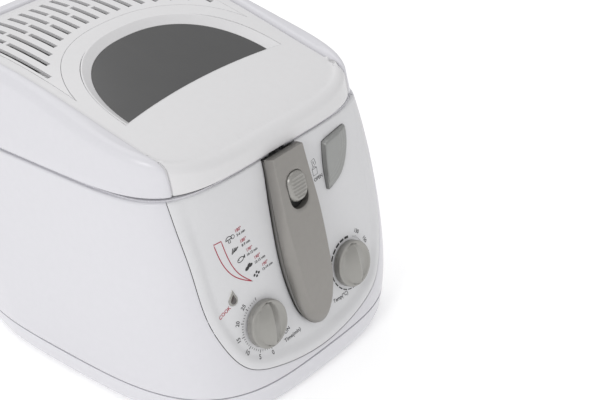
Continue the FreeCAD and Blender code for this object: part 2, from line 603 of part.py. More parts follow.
wires = [rod("BasketFoot%d" % i, "1.6", "2 * (<bowl_half_width> - <basket_gap>) - 60",
             "-(<bowl_half_width> - <basket_gap>) + 30", y, "<basket_bottom> - 1.9", "X")
         for i, y in enumerate(["-40", "21", "82"])]
node("basket_feet", doc.addObject("Part::Compound", "BasketFeet")).Links = wires

# ---- basket handle -----------------------------------------------------------

thick = size("cover_thick")
under = size("underside_thick")
half = size("handle_half_width")
length = size("handle_length")
bow = size("handle_bow")


outer_edge = handle_edge(size("handle_top_half"), half, size("handle_belly_down"), length)
face_edge = handle_edge(17.5, 20.0, 40, length - 9)
cover_block = Part.makeLoft([lifted(outer_edge, -thick), lifted(face_edge, bow + 0.5)], True, True)
side_view = [(0, 2, -5), (0, -1, -1.8), (0, -5, 0), (0, -16, 0.8), (0, -length * 0.3, bow * 0.8),
             (0, -length * 0.5, bow), (0, -length * 0.75, bow * 0.8), (0, -length + 14, 0.8),
             (0, -length + 5, -1.6), (0, -length - 1, -6.5)]
crown = curve_through(side_view)
crown_low = -thick - 2
crown_face = Part.Face(Part.Wire([
    crown, Part.LineSegment(Vector(*side_view[-1]), Vector(0, -length - 1, crown_low)).toShape(),
    Part.LineSegment(Vector(0, -length - 1, crown_low), Vector(0, 2, crown_low)).toShape(),
    Part.LineSegment(Vector(0, 2, crown_low), Vector(*side_view[0])).toShape()]))
crown_face.translate(Vector(-60, 0, 0))
cover = cover_block.common(crown_face.extrude(Vector(120, 0, 0)))
underside = Part.makeLoft([lifted(handle_edge(17.0, half - 5, 84, length - 7), -thick - GAP - under),
                           lifted(outer_edge, -thick - size("split_gap"))], True, True)
hub_room = slab(31.6, 25, 25, 0, -9.5, -thick - 18.6)
slide_y = -size("slider_down")
sw, sl = size("slider_half_width"), size("slider_half_length")
travel = size("slider_travel")
slot_cut = rounded_slab(sw, sl, sl + travel, 8, -thick - 1, 8)
slot_cut = placed(slot_cut, Placement(Vector(0, slide_y - travel, 0), Rotation()))
cover = cover.cut(hub_room).cut(slot_cut)
underside = underside.cut(hub_room)
on_handle = handle_frame
pin_in_handle = handle_frame.inverse().multVec(pivot)
pin_hole = Part.makeCylinder(size("pin_radius") + 0.02, 40, Vector(-20, pin_in_handle.y, pin_in_handle.z),
                             Vector(1, 0, 0))
pin_half_length = 18.0
underside = underside.cut(Part.makeCylinder(size("pin_radius") + 0.02, 2 * pin_half_length + 0.4,
                                            Vector(-pin_half_length - 0.2, pin_in_handle.y, pin_in_handle.z),
                                            Vector(1, 0, 0)))
cover = cover.cut(Part.makeCylinder(size("pin_radius") + 0.4, 2 * pin_half_length + 0.4,
                                    Vector(-pin_half_length - 0.2, pin_in_handle.y, pin_in_handle.z),
                                    Vector(1, 0, 0)))
tongue_room = slab(9, 34, 5.4, 0, slide_y - 2, -thick - size("split_gap") - 4.6)
underside = underside.cut(tongue_room)
screw_spots = (-88.0, -116.0)
for spot in screw_spots:
    underside = underside.cut(Part.makeCylinder(3.4, 20, Vector(0, spot, -thick - under - 1)))
    cover = cover.cut(Part.makeCylinder(1.3, 5, Vector(0, spot, -thick - 1)))
node("handle_cover", shape_object("HandleCover", placed(cover, on_handle)))
node("handle_underside", shape_object("HandleUnderside", placed(underside, on_handle)))
handle_screws = []
for spot in screw_spots:
    head = Part.makeCylinder(3, 2, Vector(0, spot, -thick - 8))
    thread = Part.makeCylinder(1.25, 10.6, Vector(0, spot, -thick - 8))
    handle_screws.append(head.fuse(thread))
node("handle_screws", shape_object("HandleScrews", placed(Part.makeCompound(handle_screws), on_handle)))
node("handle_pin", rod("HandlePin", "<pin_radius>", "36", "-18", "-<pivot_y>", "<pivot_height>", "X"))

reach = size("lever_reach")
down = Vector(0, math.cos(math.radians(45)), -math.sin(math.radians(45)))
tip = pivot + down * reach
lever_hub = Part.makeCylinder(5.6, 14, Vector(-7, pivot.y, pivot.z), Vector(1, 0, 0))
finger = Part.makeBox(8, reach, 5, Vector(-4, 0, -2.5))
finger.Placement = Placement(pivot, Rotation(Vector(1, 0, 0), -45))
nose = Part.makeCylinder(3, 8, Vector(-4, tip.y, tip.z), Vector(1, 0, 0))
lever = lever_hub.fuse(finger).fuse(nose).cut(Part.makeCylinder(size("pin_radius") + 0.02, 20,
                                                              Vector(-10, pivot.y, pivot.z), Vector(1, 0, 0)))
node("lift_lever", shape_object("LiftLever", lever))

slider = rounded_slab(sw - 0.4, sl - 0.4, sl - 0.4, 7.5, -thick + 2.2, 2.6)
slider = slider.fuse(slab(5, 10, 6, 0, 0, -thick - 2))
node("release_slider", shape_object("ReleaseSlider", placed(placed(slider, Placement(Vector(0, slide_y, 0),
                                                                                     Rotation())), on_handle)))
tongue_plate = slab(7, 22, 1.6, 0, slide_y, -thick - 4)
node("slider_tongue", shape_object("SliderTongue", placed(tongue_plate, on_handle)))

# ---- lid ---------------------------------------------------------------------

LID_LOW = SEAM + 0.0
lid_top = 330.0
step = size("shoulder_step")
lid_wall = size("lid_wall")
lid_block = lid_solid(LID_LOW, lid_top)
inner_block = lid_solid(LID_LOW - 5, lid_top, lid_wall)
panel_zone_front = size("shoulder_half_width") - 2


def zone(grow):
    """Plan of the lid's centre panel: a broad tongue between the shoulders."""
    w_front = panel_zone_front + grow
    w_rear = size("shoulder_half_width") + 4 + grow
    rear = 141.0 + grow
    r = 24.0
    k = r * (1 - math.sqrt(0.5))
    edges = [Part.LineSegment(Vector(w_front, -200, 0), Vector(w_rear, rear - r, 0)).toShape(),
             Part.Arc(Vector(w_rear, rear - r, 0), Vector(w_rear - k, rear - k, 0),
                      Vector(w_rear - r, rear, 0)).toShape(),
             Part.LineSegment(Vector(w_rear - r, rear, 0), Vector(-w_rear + r, rear, 0)).toShape(),
             Part.Arc(Vector(-w_rear + r, rear, 0), Vector(-w_rear + k, rear - k, 0),
                      Vector(-w_rear, rear - r, 0)).toShape(),
             Part.LineSegment(Vector(-w_rear, rear - r, 0), Vector(-w_front, -200, 0)).toShape(),
             Part.LineSegment(Vector(-w_front, -200, 0), Vector(w_front, -200, 0)).toShape()]
    return prism(Part.Wire(edges), 150, 400)


outside = lid_block.common(under_lid_top(-step))
hollow = inner_block.common(under_lid_top(lid_wall))
centre = lid_solid(LID_LOW, lid_top, 2.0).common(under_lid_top(0.0))
lid_shell = outside.cut(hollow).cut(zone(0))
notches = []
for side in (-1, 1):
    notches.append(slab(14, 40, 30, side * size("hinge_spread"), 160, LID_LOW - 1))
rear_relief = slab(400, 40, 4.0, 0, 165, LID_LOW - 0.5)
for notch in notches:
    lid_shell = lid_shell.cut(notch)
lid_shell = lid_shell.cut(rear_relief)
for side in (-1, 1):
    pin_seat = Part.makeCylinder(size("hinge_pin_radius") + 0.02, 22.2,
                                 Vector(side * size("hinge_spread") - 11.1, size("hinge_y"), size("hinge_height")),
                                 Vector(1, 0, 0))
    boss = slab(22, 14, 14, side * size("hinge_spread"), size("hinge_y") - 1, size("hinge_height") - 7).common(
        lid_block).cut(slab(14, 60, 80, side * size("hinge_spread"), 160, LID_LOW - 1))
    lid_shell = lid_shell.fuse(boss).cut(pin_seat)
node("lid_shell", shape_object("LidShell", lid_shell))

filter_hole = prism(filter_outline(-GAP), 150, 400)


def in_lid_frame(shape):
    """Turn a shape drawn flat over the plan so that it lies along the lid's slope."""
    moved = shape.copy()
    moved.translate(Vector(0, size("lid_knee_y"), 0))
    return placed(moved, lid_frame)


window_hole = in_lid_frame(prism(window_outline(size("bezel_width")), -40, 60))
lid_panel = centre.cut(hollow).common(zone(-GAP)).cut(window_hole).cut(filter_hole)
for notch in notches:
    lid_panel = lid_panel.cut(notch)
node("lid_panel", shape_object("LidPanel", lid_panel))

drop = size("bezel_drop")
bezel_outer = placed(window_outline(size("bezel_width") - GAP), Placement(Vector(0, 0, 0), Rotation()))
bezel_inner = placed(window_outline(0.5), Placement(Vector(0, 0, -drop), Rotation()))
bezel_solid = Part.makeLoft([placed(window_outline(size("bezel_width") - GAP),
                                    Placement(Vector(0, 0, -drop - 3), Rotation())), bezel_outer], True, True)
bezel_open = Part.makeLoft([bezel_inner, placed(window_outline(size("bezel_width") - 1.2),
                                                Placement(Vector(0, 0, 0.2), Rotation()))], True, True)
bezel = bezel_solid.cut(bezel_open).cut(prism(window_outline(-3), -drop - 4, 1)).cut(
    prism(window_outline(0.5), -drop - 0.4 - size("lens_thick"), -drop + 1))
node("window_bezel", shape_object("WindowBezel", in_lid_frame(bezel)))
lens = prism(window_outline(0.2), -drop - 0.1 - size("lens_thick"), -drop - 0.1)
node("window_lens", shape_object("WindowLens", in_lid_frame(lens)))

cover_solid = prism(filter_outline(), 150, 400).common(under_lid_top(0.0)).cut(under_lid_top(lid_wall))
slot_count = 17
for index in range(slot_count):
    x = (index - (slot_count - 1) / 2) * size("slot_pitch")
    a = size("window_half_width") + size("filter_gap") + 9
    b = size("window_depth") + size("filter_gap") + 9
    n = size("window_squareness")
    front = -size("window_front") + b * (1 - (abs(x) / a) ** n) ** (1 / n)
    rear = size("filter_rear") - 10 - (8 if abs(x) > 80 else 0)
    bridge = 84.0 if index % 2 else 98.0
    for start, stop in ((front, bridge - 2), (bridge + 2, rear)):
        cover_solid = cover_solid.cut(slab(size("slot_width"), stop - start, 200, x, (start + stop) / 2, 200))
node("filter_cover", shape_object("FilterCover", cover_solid))

cover_drop = size("inner_cover_drop")
sheet_thick = size("sheet_thick")
inner_zone = lid_solid(LID_LOW - 5, lid_top, lid_wall + 5).common(zone(-6))
inner_cover = inner_zone.common(under_lid_top(cover_drop)).cut(under_lid_top(cover_drop + sheet_thick))
front_trim = slab(400, 60, 100, 0, -128, 190)
tray_half = 90.0
tray_front, tray_rear = 44.0, 126.0
tray_zone = slab(2 * tray_half, tray_rear - tray_front, 100, 0, (tray_front + tray_rear) / 2, 223)
tray_clear = slab(2 * tray_half + 1, tray_rear - tray_front + 1, 200, 0, (tray_front + tray_rear) / 2, 200)
window_clear = prism(window_outline(12), 150, 400)
skirt_ring = rounded_slab(BOWL_W + 4, BOWL_F + 2, BOWL_R + 6, BOWL_C, SEAM + 5.4, 300).cut(
    rounded_slab(BOWL_W + 2.8, BOWL_F + 0.8, BOWL_R + 4.8, BOWL_C - 1.2, SEAM, 320)).common(
    under_lid_top(cover_drop + 0.5))
arm_notch = slab(2 * size("slot_half_width") + 2, 60, 30, 0, -100, SEAM - 10)
inner_cover = inner_cover.cut(front_trim).cut(window_clear).fuse(skirt_ring).cut(tray_clear).cut(arm_notch)
for notch in notches:
    inner_cover = inner_cover.cut(notch)
node("inner_cover", shape_object("InnerCover", inner_cover))
seal = rounded_slab(BOWL_W + 6, BOWL_F + 4, BOWL_R + 7.5, BOWL_C + 2, SEAM + 1.5, SEAM + 5.2).cut(
    rounded_slab(BOWL_W + 1, BOWL_F - 1, BOWL_R + 3, BOWL_C - 3, SEAM, SEAM + 8)).cut(arm_notch)
node("lid_seal", shape_object("LidSeal", seal))

tray_shape = tray_zone.cut(slab(2 * tray_half - 3, tray_rear - tray_front - 3, 100, 0,
                                (tray_front + tray_rear) / 2, 224.5)).common(under_lid_top(lid_wall + 0.4))
for index in range(5):
    tray_shape = tray_shape.cut(slab(2 * tray_half - 30, 6, 10, 0, tray_front + 14 + 14 * index, 220))
node("filter_tray", shape_object("FilterTray", tray_shape))
node("grease_filter", block("GreaseFilter", "%g" % (2 * tray_half - 4), "%g" % (tray_rear - tray_front - 4), "3",
                            "0", "%g" % ((tray_front + tray_rear) / 2), "224.6"))
node("filter_mat", block("FilterMat", "%g" % (2 * tray_half - 4), "%g" % (tray_rear - tray_front - 4), "14",
                         "0", "%g" % ((tray_front + tray_rear) / 2), "228"))

strike_y = latch_y - 7.0
strike = slab(16, 2.4, 60, latch_x, strike_y - 3.4, DECK + 4.5).fuse(
    slab(16, 6, 2.4, latch_x, strike_y - 1.6, DECK + 4.5)).common(under_lid_top(lid_wall + 0.3))
node("lid_strike", shape_object("LidStrike", strike))

# ---- hinge -------------------------------------------------------------------

hinge = Vector(0, size("hinge_y"), size("hinge_height"))
for side, name in ((-1, "left"), (1, "right")):
    x = side * size("hinge_spread")
    ear = slab(8, 12, hinge.z - DECK + 30, x, hinge.y - 6, DECK - 30)
    ear = ear.fuse(Part.makeCylinder(6, 8, Vector(x - 4, hinge.y, hinge.z), Vector(1, 0, 0)))
    ear = ear.cut(Part.makeCylinder(size("hinge_pin_radius") + size("shaft_clearance"), 20,
                                    Vector(x - 10, hinge.y, hinge.z), Vector(1, 0, 0)))
    node("hinge_bracket_" + name, shape_object("HingeBracket" + name.title(), ear))
    node("hinge_pin_" + name, rod("HingePin" + name.title(), "<hinge_pin_radius>", "22", "%g" % (x - 11),
                                  "<hinge_y>", "<hinge_height>", "X"))

doc.recompute()

# ---- checks and files --------------------------------------------------------

for item in doc.Objects:
    if "Invalid" in item.State or "Error" in item.State:
        raise RuntimeError("%s failed: %s" % (item.Name, item.State))
os.makedirs("parts", exist_ok=True)
for label, item in nodes:
    if item.Shape.isNull() or not item.Shape.isValid():
        raise RuntimeError("%s has no valid shape" % label)
for label, item in nodes:
    item.Shape.exportStep("parts/%s.step" % label)
    box = item.Shape.BoundBox
    print("%-20s %2d solids %10.0f mm3  x %.1f..%.1f  y %.1f..%.1f  z %.1f..%.1f" % (
        label, len(item.Shape.Solids), item.Shape.Volume, box.XMin, box.XMax, box.YMin, box.YMax, box.ZMin,
        box.ZMax))
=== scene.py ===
# %% [markdown]
# # Dressing a deep fryer
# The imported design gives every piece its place, its size and its joints. This lesson gives
# the fryer its looks. Where the design's piece already has the right shape, such as a foot or
# a hinge pin, it only gets a finish. The large white mouldings, the handle, the knobs and the
# button are rebuilt as finer meshes in the same places, because soft edges and ribs catch the
# light in a way that plain solids don't.

# %% Load the frame
import json
import math

import bmesh
import bpy
import numpy as np
from mathutils import Matrix, Vector, geometry, kdtree


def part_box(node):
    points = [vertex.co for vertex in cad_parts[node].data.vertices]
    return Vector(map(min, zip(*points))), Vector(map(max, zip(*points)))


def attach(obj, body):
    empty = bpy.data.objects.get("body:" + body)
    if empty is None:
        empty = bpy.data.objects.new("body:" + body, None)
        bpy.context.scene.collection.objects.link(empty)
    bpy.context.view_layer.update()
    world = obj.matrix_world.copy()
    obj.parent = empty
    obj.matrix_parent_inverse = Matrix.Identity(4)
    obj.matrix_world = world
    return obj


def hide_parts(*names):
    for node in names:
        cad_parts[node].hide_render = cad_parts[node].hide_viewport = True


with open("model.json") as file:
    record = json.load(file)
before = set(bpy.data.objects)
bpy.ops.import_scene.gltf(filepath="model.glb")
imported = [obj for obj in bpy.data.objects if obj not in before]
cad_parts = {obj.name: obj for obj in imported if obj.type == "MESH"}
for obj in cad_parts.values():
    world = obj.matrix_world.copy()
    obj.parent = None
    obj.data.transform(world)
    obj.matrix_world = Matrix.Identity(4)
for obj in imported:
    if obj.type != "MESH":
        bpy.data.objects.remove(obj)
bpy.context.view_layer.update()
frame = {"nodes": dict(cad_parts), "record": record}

MM = 0.001
nodes = frame["nodes"]
print("nodes in the frame:", len(nodes))

# %% [markdown]
# ## The driving dimensions
# All lengths below are in millimetres and are turned into metres when a mesh is made. The
# height of the skirt comes from the frame's own box; the other sizes repeat the design's.
# Each wall stage is a height and the outline of the body there: half width, half depth, how
# square its corners are, and how far its centre lies behind the origin.

# %% Read the sizes of the mouldings
SKIRT = float(round(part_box("outer_shell")[0].z / MM))
SEAM = 202.0
WALL_STAGES = ((24.0, 137.0, 175.0, 3.4, 0.0), (72.0, 135.5, 165.5, 4.9, 2.0),
               (130.0, 133.0, 159.5, 5.8, 7.0), (SEAM, 129.0, 150.5, 5.4, 12.5))
PANEL_SINK = 3.0
WALL_THICK = 2.4
print("the body stands from %.0f to %.0f mm" % (SKIRT, SEAM))


# %% [markdown]
# ## Curves and flat patterns
# Two helpers carry most of the work. The first draws a smooth curve through a few chosen
# points. The second is a pattern cutter: it fills a flat outline with even triangles that run
# exactly along every line it is given, as a sheet is cut along its pattern. The flat sheet is
# bent into place afterwards, so openings and grooves stay crisp on a curved wall.

# %% Helpers for curves and flat patterns
def smooth_through(points, count):
    """A natural cubic spline through a few points, sampled count times."""
    pts = np.array(points, float)
    t = np.concatenate([[0], np.cumsum(np.linalg.norm(np.diff(pts, axis=0), axis=1))])
    n = len(pts)
    step = np.diff(t)
    system = np.eye(n)
    right = np.zeros((n, pts.shape[1]))
    for i in range(1, n - 1):
        system[i, i - 1:i + 2] = step[i - 1], 2 * (step[i - 1] + step[i]), step[i]
        right[i] = 6 * ((pts[i + 1] - pts[i]) / step[i] - (pts[i] - pts[i - 1]) / step[i - 1])
    bend = np.linalg.solve(system, right)
    samples = np.linspace(0, t[-1], count)
    k = np.clip(np.searchsorted(t, samples, side="right") - 1, 0, n - 2)
    a = ((t[k + 1] - samples) / step[k])[:, None]
    b = 1 - a
    cubic = ((a ** 3 - a) * bend[k] + (b ** 3 - b) * bend[k + 1]) * (step[k] ** 2)[:, None] / 6
    return a * pts[k] + b * pts[k + 1] + cubic


def inside(polygon, points):
    """Which points lie inside a closed polygon (even-odd rule)."""
    x, y = points[:, 0], points[:, 1]
    result = np.zeros(len(points), bool)
    for (x0, y0), (x1, y1) in zip(polygon, np.roll(polygon, -1, axis=0)):
        if y0 == y1:
            continue
        crosses = (y0 > y) != (y1 > y)
        result ^= crosses & (x < (x1 - x0) * (y - y0) / (y1 - y0) + x0)
    return result


def distance_to(line, points, closed=False):
    """Distance of each point from a line of straight pieces."""
    line = np.array(line, float)
    ends = np.roll(line, -1, axis=0) if closed else line[1:]
    starts = line if closed else line[:-1]
    best = np.full(len(points), 1e9)
    for a, b in zip(starts, ends):
        along = b - a
        share = np.clip(((points - a) @ along) / max(along @ along, 1e-12), 0, 1)
        best = np.minimum(best, np.linalg.norm(points - a - share[:, None] * along, axis=1))
    return best


def offset_line(line, distance):
    """A line moved sideways, to the left of its direction when distance is positive."""
    line = np.array(line, float)
    along = np.gradient(line, axis=0)
    along /= np.linalg.norm(along, axis=1)[:, None]
    return line + distance * np.stack([-along[:, 1], along[:, 0]], axis=1)


def grid_points(low, high, spacing):
    """Staggered rows of points that fill a rectangle evenly."""
    rows = []
    for index, y in enumerate(np.arange(low[1], high[1], spacing * 0.87)):
        start = low[0] + (spacing / 2 if index % 2 else 0)
        rows += [(x, y) for x in np.arange(start, high[0], spacing)]
    return rows


def cut_pattern(lines, fill, keep, clear):
    """Triangles over the fill points, exact along the lines. lines holds (points, closed)."""
    verts, edges = [], []
    for line, closed in lines:
        first = len(verts)
        verts += [(float(p[0]), float(p[1])) for p in line]
        edges += [(first + i, first + i + 1) for i in range(len(line) - 1)]
        if closed:
            edges.append((len(verts) - 1, first))
    tree = kdtree.KDTree(len(verts))
    for index, v in enumerate(verts):
        tree.insert((v[0], v[1], 0), index)
    tree.balance()
    verts += [p for p in fill if tree.find((p[0], p[1], 0))[2] > clear]
    result = geometry.delaunay_2d_cdt([Vector(v) for v in verts], edges, [], 0, 1e-5)
    flat = np.array([v[:] for v in result[0]])
    faces = np.array([f for f in result[2] if len(f) == 3])
    return flat, faces[keep(flat[faces].mean(axis=1))]


# %% [markdown]
# ## From numbers to a piece
# A mesh is made from points in millimetres. A thin shell gets its thickness from the Solidify
# modifier, which is applied at once so that the mesh itself is the result. After that, edges
# that turn more than a set angle are marked sharp, and everything else is shaded smooth.

# %% Helpers that make pieces
def piece_from(name, verts, faces, material, body, sharp=38.0, thick=0.0):
    """A named mesh in millimetres, with its finish, riding on a body of the design."""
    mesh = bpy.data.meshes.new(name)
    places = [tuple(MM * float(c) for c in v) for v in verts]
    mesh.from_pydata(places, [], [tuple(map(int, f)) for f in faces])
    bm = bmesh.new()
    bm.from_mesh(mesh)
    bmesh.ops.remove_doubles(bm, verts=bm.verts, dist=2e-6)
    bmesh.ops.delete(bm, geom=[v for v in bm.verts if not v.link_faces], context="VERTS")
    for face in bm.faces:
        face.smooth = True
    bm.to_mesh(mesh)
    bm.free()
    obj = bpy.data.objects.new(name, mesh)
    bpy.context.scene.collection.objects.link(obj)
    mesh.materials.append(material)
    if thick:
        shell = obj.modifiers.new("Wall", "SOLIDIFY")
        shell.thickness = thick * MM
        shell.offset = -1.0
        shell.use_even_offset = False
        apply_modifiers(obj)
    obj.data.set_sharp_from_angle(angle=math.radians(sharp))
    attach(obj, body)
    return obj


def apply_modifiers(obj):
    """Turn the modifiers into plain mesh."""
    graph = bpy.context.evaluated_depsgraph_get()
    graph.update()
    done = bpy.data.meshes.new_from_object(obj.evaluated_get(graph))
    old = obj.data
    obj.modifiers.clear()
    obj.data = done
    bpy.data.meshes.remove(old)


def strips(rings, closed=False):
    """Quads between neighbouring rows of points: returns points and faces."""
    count = len(rings[0])
    verts = np.concatenate([np.array(r, float) for r in rings])
    faces = []
    for row in range(len(rings) - 1):
        for k in range(count if closed else count - 1):
            a, b = row * count + k, row * count + (k + 1) % count
            faces.append((a, b, b + count, a + count))
    return verts, faces


def shifted(faces, shift, turned=False):
    """Faces renumbered for points that follow others, and turned over if asked."""
    moved = [tuple(int(i) + shift for i in face) for face in faces]
    return [face[::-1] for face in moved] if turned else moved


def smoothstep(value):
    value = np.clip(value, 0, 1)
    return value * value * (3 - 2 * value)


def softened(distance, depth, reach):
    """How much an edge drops: depth at the edge itself, nothing beyond the reach."""
    return depth * np.clip(1 - distance / reach, 0, 1) ** 2


def quarter_round(share):
    """Rise of a quarter circle from 0 to 1."""
    return np.sqrt(np.clip(1 - (1 - share) ** 2, 0, 1))


# %% [markdown]
# ## Finishes
# Two effects are shared by many materials, so each is a node group that is built once. Fine
# grain is the spark-eroded texture of a mould, which a satin plastic copies. Handling is the
# slow, cloudy change in gloss that wiping and touching leave, with slightly lighter edges. A
# group only puts out values; the shader stays in the material.

# %% Shared node groups
def new_group(name, inputs, outputs):
    group = bpy.data.node_groups.new(name, "ShaderNodeTree")
    for label, value in inputs:
        socket = group.interface.new_socket(label, in_out="INPUT", socket_type="NodeSocketFloat")
        socket.default_value = value
    for label in outputs:
        group.interface.new_socket(label, in_out="OUTPUT", socket_type="NodeSocketFloat")
    return group, group.nodes.new("NodeGroupInput"), group.nodes.new("NodeGroupOutput")


def link(tree, source, target):
    tree.links.new(source, target)


def math_node(tree, operation, first, second):
    result = tree.nodes.new("ShaderNodeMath")
    result.operation = operation
    for index, value in enumerate((first, second)):
        if isinstance(value, (int, float)):
            result.inputs[index].default_value = value
        else:
            link(tree, value, result.inputs[index])
    return result.outputs[0]


def build_grain():
    """Height and shade of a fine moulded grain; Scale is in grains per metre."""
    group, given, out = new_group("MouldGrain", [("Scale", 900.0), ("Coarse", 0.35)], ["Height", "Shade"])
    coords = group.nodes.new("ShaderNodeTexCoord")
    fine = group.nodes.new("ShaderNodeTexNoise")
    fine.inputs["Detail"].default_value = 3.0
    link(group, coords.outputs["Object"], fine.inputs["Vector"])
    link(group, given.outputs["Scale"], fine.inputs["Scale"])
    broad = group.nodes.new("ShaderNodeTexNoise")
    broad.inputs["Detail"].default_value = 2.0
    link(group, coords.outputs["Object"], broad.inputs["Vector"])
    link(group, math_node(group, "MULTIPLY", given.outputs["Scale"], 0.12), broad.inputs["Scale"])
    weighted = math_node(group, "MULTIPLY", broad.outputs[0], given.outputs["Coarse"])
    link(group, math_node(group, "ADD", fine.outputs[0], weighted), out.inputs["Height"])
    link(group, broad.outputs[0], out.inputs["Shade"])
    return group


def build_handling():
    """Cloudy gloss changes and the lighter line that forms along edges."""
    group, given, out = new_group("Handling", [("Scale", 14.0), ("Edges", 1.0)], ["Cloud", "Edge"])
    coords = group.nodes.new("ShaderNodeTexCoord")
    cloud = group.nodes.new("ShaderNodeTexNoise")
    cloud.inputs["Detail"].default_value = 5.0
    cloud.inputs["Roughness"].default_value = 0.6
    link(group, coords.outputs["Object"], cloud.inputs["Vector"])
    link(group, given.outputs["Scale"], cloud.inputs["Scale"])
    link(group, cloud.outputs[0], out.inputs["Cloud"])
    shape = group.nodes.new("ShaderNodeNewGeometry")
    above = math_node(group, "SUBTRACT", shape.outputs["Pointiness"], 0.53)
    strong = math_node(group, "MULTIPLY", math_node(group, "MAXIMUM", above, 0.0), 8.0)
    limited = math_node(group, "MINIMUM", math_node(group, "MULTIPLY", strong, given.outputs["Edges"]), 1.0)
    link(group, limited, out.inputs["Edge"])
    return group


GRAIN = build_grain()
HANDLING = build_handling()
print("shared groups:", GRAIN.name, HANDLING.name)


# %% [markdown]
# ## One way to mix a finish
# Moulded plastics, rubber and sheet metal differ in colour, gloss, grain and metal share, but
# they are put together alike: the grain shades the colour and drives the bump, and the
# handling clouds move the roughness. A value that is the same everywhere is set on the shader
# itself.

# %% The finish builder and all materials
CLOUD_SCALE = 14.0


def finish(name, colour, shade, rough, spread, grain=900.0, bump=0.03, metal=0.0, coat=0.0, edge=0.1):
    material = bpy.data.materials.new(name)
    material.use_nodes = True
    tree = material.node_tree
    shader = tree.nodes["Principled BSDF"]
    shader.inputs["Metallic"].default_value = metal
    shader.inputs["Coat Weight"].default_value = coat
    shader.inputs["Coat Roughness"].default_value = 0.12
    texture = tree.nodes.new("ShaderNodeGroup")
    texture.node_tree = GRAIN
    texture.inputs["Scale"].default_value = grain
    touch = tree.nodes.new("ShaderNodeGroup")
    touch.node_tree = HANDLING
    touch.inputs["Scale"].default_value = CLOUD_SCALE
    body = tree.nodes.new("ShaderNodeMix")
    body.data_type = "RGBA"
    body.inputs["A"].default_value = (*colour, 1)
    body.inputs["B"].default_value = (*shade, 1)
    link(tree, texture.outputs["Shade"], body.inputs["Factor"])
    worn = tree.nodes.new("ShaderNodeMix")
    worn.data_type = "RGBA"
    worn.inputs["B"].default_value = (*(min(1.0, c * 1.25 + 0.03) for c in colour), 1)
    link(tree, body.outputs["Result"], worn.inputs["A"])
    link(tree, math_node(tree, "MULTIPLY", touch.outputs["Edge"], edge), worn.inputs["Factor"])
    link(tree, worn.outputs["Result"], shader.inputs["Base Color"])
    moved = math_node(tree, "MULTIPLY_ADD", touch.outputs["Cloud"], spread)
    moved.node.inputs[2].default_value = rough - spread / 2
    link(tree, moved, shader.inputs["Roughness"])
    relief = tree.nodes.new("ShaderNodeBump")
    relief.inputs["Strength"].default_value = 0.5
    relief.inputs["Distance"].default_value = bump * MM
    link(tree, texture.outputs["Height"], relief.inputs["Height"])
    link(tree, relief.outputs["Normal"], shader.inputs["Normal"])
    return material


WHITE_BODY = finish("WhiteBodyPlastic", (0.70, 0.695, 0.73), (0.675, 0.67, 0.705),
                    0.34, 0.08, 1400, 0.012, coat=0.12)
WHITE_PANEL = finish("WhitePanelPlastic", (0.70, 0.70, 0.715), (0.675, 0.675, 0.69),
                     0.42, 0.08, 1600, 0.015)
WHITE_LID = finish("WhiteLidPlastic", (0.735, 0.73, 0.74), (0.71, 0.705, 0.715),
                   0.36, 0.08, 1400, 0.014, coat=0.1)
GREY_HANDLE = finish("TaupeGreyPlastic", (0.30, 0.288, 0.272), (0.275, 0.264, 0.25),
                     0.36, 0.08, 1500, 0.02, metal=0.55, edge=0.25)
GREY_SIDE = finish("DarkerGreyPlastic", (0.20, 0.195, 0.188), (0.18, 0.175, 0.168),
                   0.45, 0.12, 1500, 0.02)
GREY_KNOB = finish("KnobGreyPlastic", (0.35, 0.343, 0.325), (0.325, 0.318, 0.30),
                   0.34, 0.08, 1500, 0.02, metal=0.55, edge=0.3)
GREY_BUTTON = finish("ButtonGreyPlastic", (0.33, 0.334, 0.328), (0.305, 0.308, 0.302),
                     0.36, 0.08, 1500, 0.02, metal=0.55, edge=0.3)
SMOKE = finish("SmokedWindow", (0.05, 0.05, 0.051), (0.043, 0.043, 0.044), 0.30, 0.10, 400, 0.004, coat=0.25)
# Black for the design's inner parts; the same finish is also painted shade on the plate behind the handle's
# slot.
INNER_BLACK_AND_PAINTED_SHADE = finish("InnerBlackAndPaintedShade", (0.012, 0.012, 0.013), (0.02, 0.02, 0.02), 0.6, 0.1, 900, 0.03)
STEEL = finish("SatinSteel", (0.56, 0.56, 0.55), (0.5, 0.5, 0.49), 0.32, 0.12, 700, 0.006, metal=1.0)
ALUMINIUM = finish("RolledAluminium", (0.72, 0.72, 0.72), (0.66, 0.66, 0.66),
                   0.38, 0.14, 500, 0.008, metal=1.0)
CHROME = finish("ChromedWire", (0.68, 0.68, 0.69), (0.6, 0.6, 0.61), 0.16, 0.08, 600, 0.003, metal=1.0)
NON_STICK = finish("NonStickCoating", (0.03, 0.03, 0.032), (0.055, 0.055, 0.058), 0.38, 0.1, 2200, 0.03)
RUBBER = finish("GreyRubber", (0.09, 0.09, 0.088), (0.075, 0.075, 0.073), 0.75, 0.1, 1200, 0.05)
SEAL = finish("SiliconeSeal", (0.33, 0.33, 0.32), (0.3, 0.3, 0.29), 0.6, 0.1, 800, 0.02)
FELT = finish("CharcoalFelt", (0.03, 0.03, 0.03), (0.06, 0.058, 0.055), 0.95, 0.04, 500, 0.6)
LAMP = finish("LampLens", (0.03, 0.022, 0.02), (0.05, 0.035, 0.03), 0.12, 0.04, 300, 0.004, coat=1.0)
INK = finish("BlackInk", (0.018, 0.018, 0.02), (0.03, 0.03, 0.032), 0.5, 0.1, 1500, 0.004)
RED_INK = finish("CrimsonInk", (0.40, 0.028, 0.055), (0.36, 0.022, 0.045), 0.5, 0.1, 1500, 0.004)
print("finishes:", len(bpy.data.materials))

# %% [markdown]
# ## Finishes on the pieces that keep their shape
# Hinges, screws, the bowl and the heating parts already have their true shape, so they only
# change their material. The record says which slot each of them belongs to, and the slot
# decides the finish.

